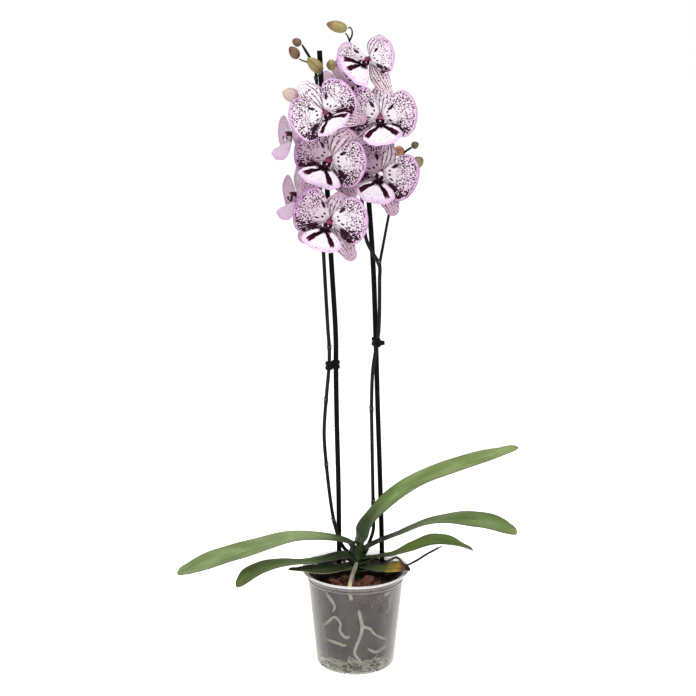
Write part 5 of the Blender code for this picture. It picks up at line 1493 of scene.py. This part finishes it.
def sepal_part(down, length, width, lift, seed, bold, rng, rows=44, cols=28):
    """Elliptic sepal leaving the centre; down is its angle from the upright axis."""
    a = math.radians(down)
    along, across = np.array((math.sin(a), 0, math.cos(a))), np.array((math.cos(a), 0, -math.sin(a)))
    s = np.linspace(0, 1, rows)[:, None]
    v = np.linspace(-1, 1, cols)[None]
    w = width * np.maximum(0.17, np.sin(math.pi * (0.03 + 0.95 * s)) ** 0.85)
    near = np.clip((s - 0.80) / 0.20, 0, 1)
    full = width * math.sin(math.pi * 0.79) ** 0.85
    w = np.where(s > 0.80, full * np.sqrt(np.clip(1 - near ** 2, 0, 1)), w) + 0.10
    w = w * (1 + ripple(rng, s * 7, 0, 0.03))
    y = 1.7 + lift * s * s - 1.2 * (1 - v * v) * np.sin(math.pi * s) + ripple(rng, s * 4, v, 0.4) * s ** 2
    run = 3.0 + (length - 3.0) * s
    grid = along * run[..., None] + across * (w * v)[..., None] + joined(0.0, y, 0.0)
    thick = BLADE_THICKNESS * (1 - 0.6 * np.abs(v) ** 3) * (1 - 0.4 * step(s, 0.7, 1.0))
    return shell(grid, thick, joined(v, run, s), (seed, 0, bold), 1)


def ball_part(centre, radii, seed, look, turn=None):
    """Rounded lump."""
    rings, sides = 14, 20
    angles = np.linspace(-math.pi / 2, math.pi / 2, rings)[1:-1, None]
    turns = np.arange(sides) * 2 * math.pi / sides
    verts = joined(np.cos(angles) * np.cos(turns) * radii[0], np.sin(angles) * radii[1],
                   np.cos(angles) * np.sin(turns) * radii[2]).reshape(-1, 3)
    verts = np.vstack([verts, [0, -radii[1], 0], [0, radii[1], 0]])
    if turn is not None:
        verts = verts @ np.array(turn).T
    return Part(verts + np.array(centre), closed_rings(rings - 2, sides), verts, seed, look)


def flower_parts(number, spec, fine, shape):
    """Petals and sepals of one flower about its centre."""
    rng = random.Random(100 + number)
    parts = [ball_part((0, 0.4, 0), (4.0, 3.2, 4.0), (0, 0, 0), 2)]
    for side, shade_flush, more in zip((-1, 1), SHADE_FLUSH[number - 1], (fine["left_petal"], fine["right_petal"])):
        seed = number * 0.37 + side * 0.11
        blade = petal_part(side, spec["lift"] + more, rng.uniform(0, 6.28), seed, shape)
        # Third seed number: how much mauve painted shade the petal gets
        blade.seeds[:, 2] = shade_flush
        if number in EDGE_ON:
            blade.seeds[:, 1] *= EDGE_ON_MARKS
            blade.verts *= EDGE_ON_SIZE
        blade.verts *= PETAL_SIZES.get(number, (1.0, 1.0))[side > 0]
        parts.append(blade)
    parts.append(sepal_part(fine["dorsal"] - spec["lean"], spec["dorsal"], fine["dorsal_width"], 2.0,
                            number * 0.31, fine["tone"], shape))
    for side, more in ((-1, fine["left_sepal"]), (1, fine["right_sepal"])):
        angle = side * (180 - 43 + rng.uniform(-2, 2) + more)
        bold = 1.0 if number == 1 and side == 1 else 0.0
        length = LEFT_SEPALS.get(number, SEPAL_LENGTH) if side < 0 else SEPAL_LENGTH
        length = TURNED_SEPAL_LENGTH if more < 0 else length
        parts.append(sepal_part(angle, length, 11.5, 3.0, number * 0.29 + side * 0.13, bold, shape))
        if number in EDGE_ON:
            parts[-1].seeds[:, 1] *= EDGE_ON_MARKS
    return parts


def lip_blade(number, swing, fine, shape):
    """Broad blade of a lip, dished and turned down; its seeds hold where its two dark arms point."""
    rows, cols = 34, 52
    angles = np.linspace(-LIP_HALF_ANGLE, LIP_HALF_ANGLE, cols)
    share = soft_outline(LIP_OUTLINE, LIP_HALF_ANGLE, 29, angles)
    share = share * (1 + ripple(shape, angles / 7, 0, 0.02))
    s = np.linspace(0, 1, rows)[:, None]
    r = 2.2 + (LIP_REACH * share[None] - 2.2) * s
    a = np.radians(angles * LIP_SPREAD)[None] + s * 0
    x, z = r * np.sin(a), -r * np.cos(a) * fine["long"]
    y = -7.0 - 0.14 * r - 3.0 * (np.abs(x) / 18) ** 2 - 1.5 * s * s + 0.5 * np.cos(a * 9) * s ** 3
    tip = math.radians(fine["tip"])
    grid = joined(x * fine["wide"], y + z * math.sin(tip), z * math.cos(tip) - 4.0)
    thick = BLADE_THICKNESS * (1 - 0.6 * step(s, 0.6, 1.0))
    lip = shell(grid, thick, joined(angles[None] / LIP_HALF_ANGLE, r, s), (number * 0.23, 0, 0))
    lip.seeds[:, 1:] = ARMS[number - 1]
    return lip.turned(swing, LIP_SHIFTS.get(number, (0, 0, 0)))


def side_lobe(number, side):
    """Small upright lobe beside the column, dark at its root like the lip."""
    v, q = np.linspace(-1, 1, 9)[None], np.linspace(0, 1, 12)[:, None]
    grid = joined(side * (2.6 + 3.4 * q * (1 - 0.15 * v * v)), -8.0 - 3.6 * q + 0.8 * v * v,
                  -3.6 + 2.6 * v * (1 - 0.45 * q))
    lobe = shell(grid, 0.6, joined(v * 0.1, 3 + q * 7, 0.2 + q * 0.5), (number * 0.41, 0, 0))
    lobe.seeds[:, 1:] = LOBE_ARM
    return lobe


def column_parts(number):
    """Callus, side lobes and column of a flower."""
    parts = []
    for side in (-1, 1):
        seed = (number * 0.2, float(number == 7), 0)
        parts.append(ball_part((side * 1.3, -8.0, -4.6), (1.7, 2.2, 3.4), seed, 1, spin(side * 0.35, "Y")))
        parts.append(side_lobe(number, side))
    # Small pale ball on top of the callus: a painted highlight
    parts.append(ball_part((0.2, -9.6, -3.4), (0.9, 0.7, 0.8), (number * 0.2, 1.0, 0), 1))
    spine = spline([(0, -3.2, 0.6), (0, -6.6, 0.5), (0, -9.0, -0.4), (0, -9.9, -1.6)], 22)
    radii = np.interp(np.linspace(0, 1, 22), [0, 0.45, 0.7, 0.86, 0.95, 1], [2.6, 3.2, 3.2, 2.7, 1.8, 0.5])
    parts.append(tube(spine, radii, 20, (number * 0.3, PALE_CAPS[number - 1], 0), 2))
    return parts


def make_bloom(number, spec):
    """Petals and sepals of one flower as one piece, lip and column as another."""
    fine = dict(zip(FINE_NAMES, FINE[number]))
    shape = random.Random(500 + number)
    turn, at, size = bloom_turn(spec), spec["at"], spec["size"]
    flower = [p.turned(turn, at, size) for p in flower_parts(number, spec, fine, shape)]
    piece(f"bloom_{number}_petals", flower, [PETAL, SEPAL, THROAT], [f"bloom_{number}"])
    swing = spin(math.radians(spec["lip"] + fine["lip"]), "Y")
    lip = [p.turned(turn, at, size) for p in [lip_blade(number, swing, fine, shape)] + column_parts(number)]
    piece(f"lip_{number}_column", lip, [LIP, THROAT, COLUMN], [f"lip_{number}"])


def make_bud(number, root, tip, radius):
    """Closed bud of three sepals: full in the middle, drawn to a soft point."""
    shares = np.linspace(0, 1, 26)
    girth = np.interp(shares, [0, 0.04, 0.10, 0.20, 0.30, 0.42, 0.52, 0.64, 0.74, 0.84, 0.92, 0.97, 1.0],
                      [0.26, 0.48, 0.68, 0.88, 0.97, 1.01, 1.0, 0.92, 0.80, 0.62, 0.42, 0.26, 0.10])
    root, tip = np.array(root, float), np.array(tip, float)
    line = root + (tip - root) * shares[:, None]
    sides = 36
    turns = np.arange(sides) / sides
    seam = np.exp(-(((turns * 3 + number * 0.37) % 1 - 0.5) / 0.10) ** 2)
    radii = radius * girth[:, None] * (1 - 0.07 * seam[None] * np.sin(shares * math.pi)[:, None]
                                       + 0.006 * np.sin(turns * FULL_TURN * 15)[None])
    body = tube(line, radii, sides, (number * 0.37, 0, 0))
    look = bud_skin(f"bud_{number}_skin", *BUD_COLOURS[number - 1])
    piece(f"bud_{number}_body", [body], [look], [f"bud_{number}"])


make_pot()
make_bark()
make_roots()
make_crown()
for leaf_name, leaf_shape in LEAVES.items():
    make_leaf(leaf_name, **leaf_shape)
make_strip()
make_stakes()
make_stems()
make_clips()
for index, bloom in enumerate(BLOOMS, 1):
    make_bloom(index, bloom)
for index, bud in enumerate(BUDS, 1):
    make_bud(index, *bud)


# Studio: white floor and surroundings, broad soft lights, the camera at the photo's angle

def make_floor():
    """Broad white floor."""
    floor = add_object("floor", [(-6, -3, 0), (6, -3, 0), (6, 8, 0), (-6, 8, 0)], [(0, 1, 2, 3)])
    floor.data.materials.append(floor_skin())


def make_light(name, at, target, size, watts):
    """Soft square light aimed at a point."""
    lamp = bpy.data.lights.new(name, "AREA")
    lamp.shape = "SQUARE"
    lamp.size = size
    lamp.energy = watts
    obj = bpy.data.objects.new(name, lamp)
    obj.location = at
    obj.rotation_euler = (Vector(target) - Vector(at)).to_track_quat("-Z", "Y").to_euler()
    scene.collection.objects.link(obj)


make_floor()
make_light("key_light", (0.7, -1.3, 1.9), (0, 0, 0.45), 0.9, 26)
make_light("fill_light", (-1.3, -1.4, 0.8), (0, 0, 0.4), 1.4, 8)
make_light("top_light", (-0.2, 0.2, 2.0), (0, 0, 0.3), 1.2, 12)


def make_world(lighting):
    """White surroundings that the camera sees as pure white and that light the scene more dimly."""
    world = bpy.data.worlds.new("studio")
    world.use_nodes = True
    nodes, links = world.node_tree.nodes, world.node_tree.links
    path = nodes.new("ShaderNodeLightPath")
    strength = nodes.new("ShaderNodeMapRange")
    strength.inputs["To Min"].default_value = lighting
    strength.inputs["To Max"].default_value = 1.0
    links.new(path.outputs["Is Camera Ray"], strength.inputs["Value"])
    links.new(strength.outputs["Result"], nodes["Background"].inputs["Strength"])
    nodes["Background"].inputs["Color"].default_value = (1, 1, 1, 1)
    scene.world = world


make_world(0.40)

camera = bpy.data.cameras.new("photo_camera")
camera.lens = 63.0
camera.sensor_width = 36.0
camera.dof.use_dof = False
eye = bpy.data.objects.new("photo_camera", camera)
eye.location = (-0.0085, -1.3, 0.614)
eye.rotation_euler = (math.radians(79), 0, 0)
scene.collection.objects.link(eye)
scene.camera = eye
scene.view_settings.view_transform = "Standard"
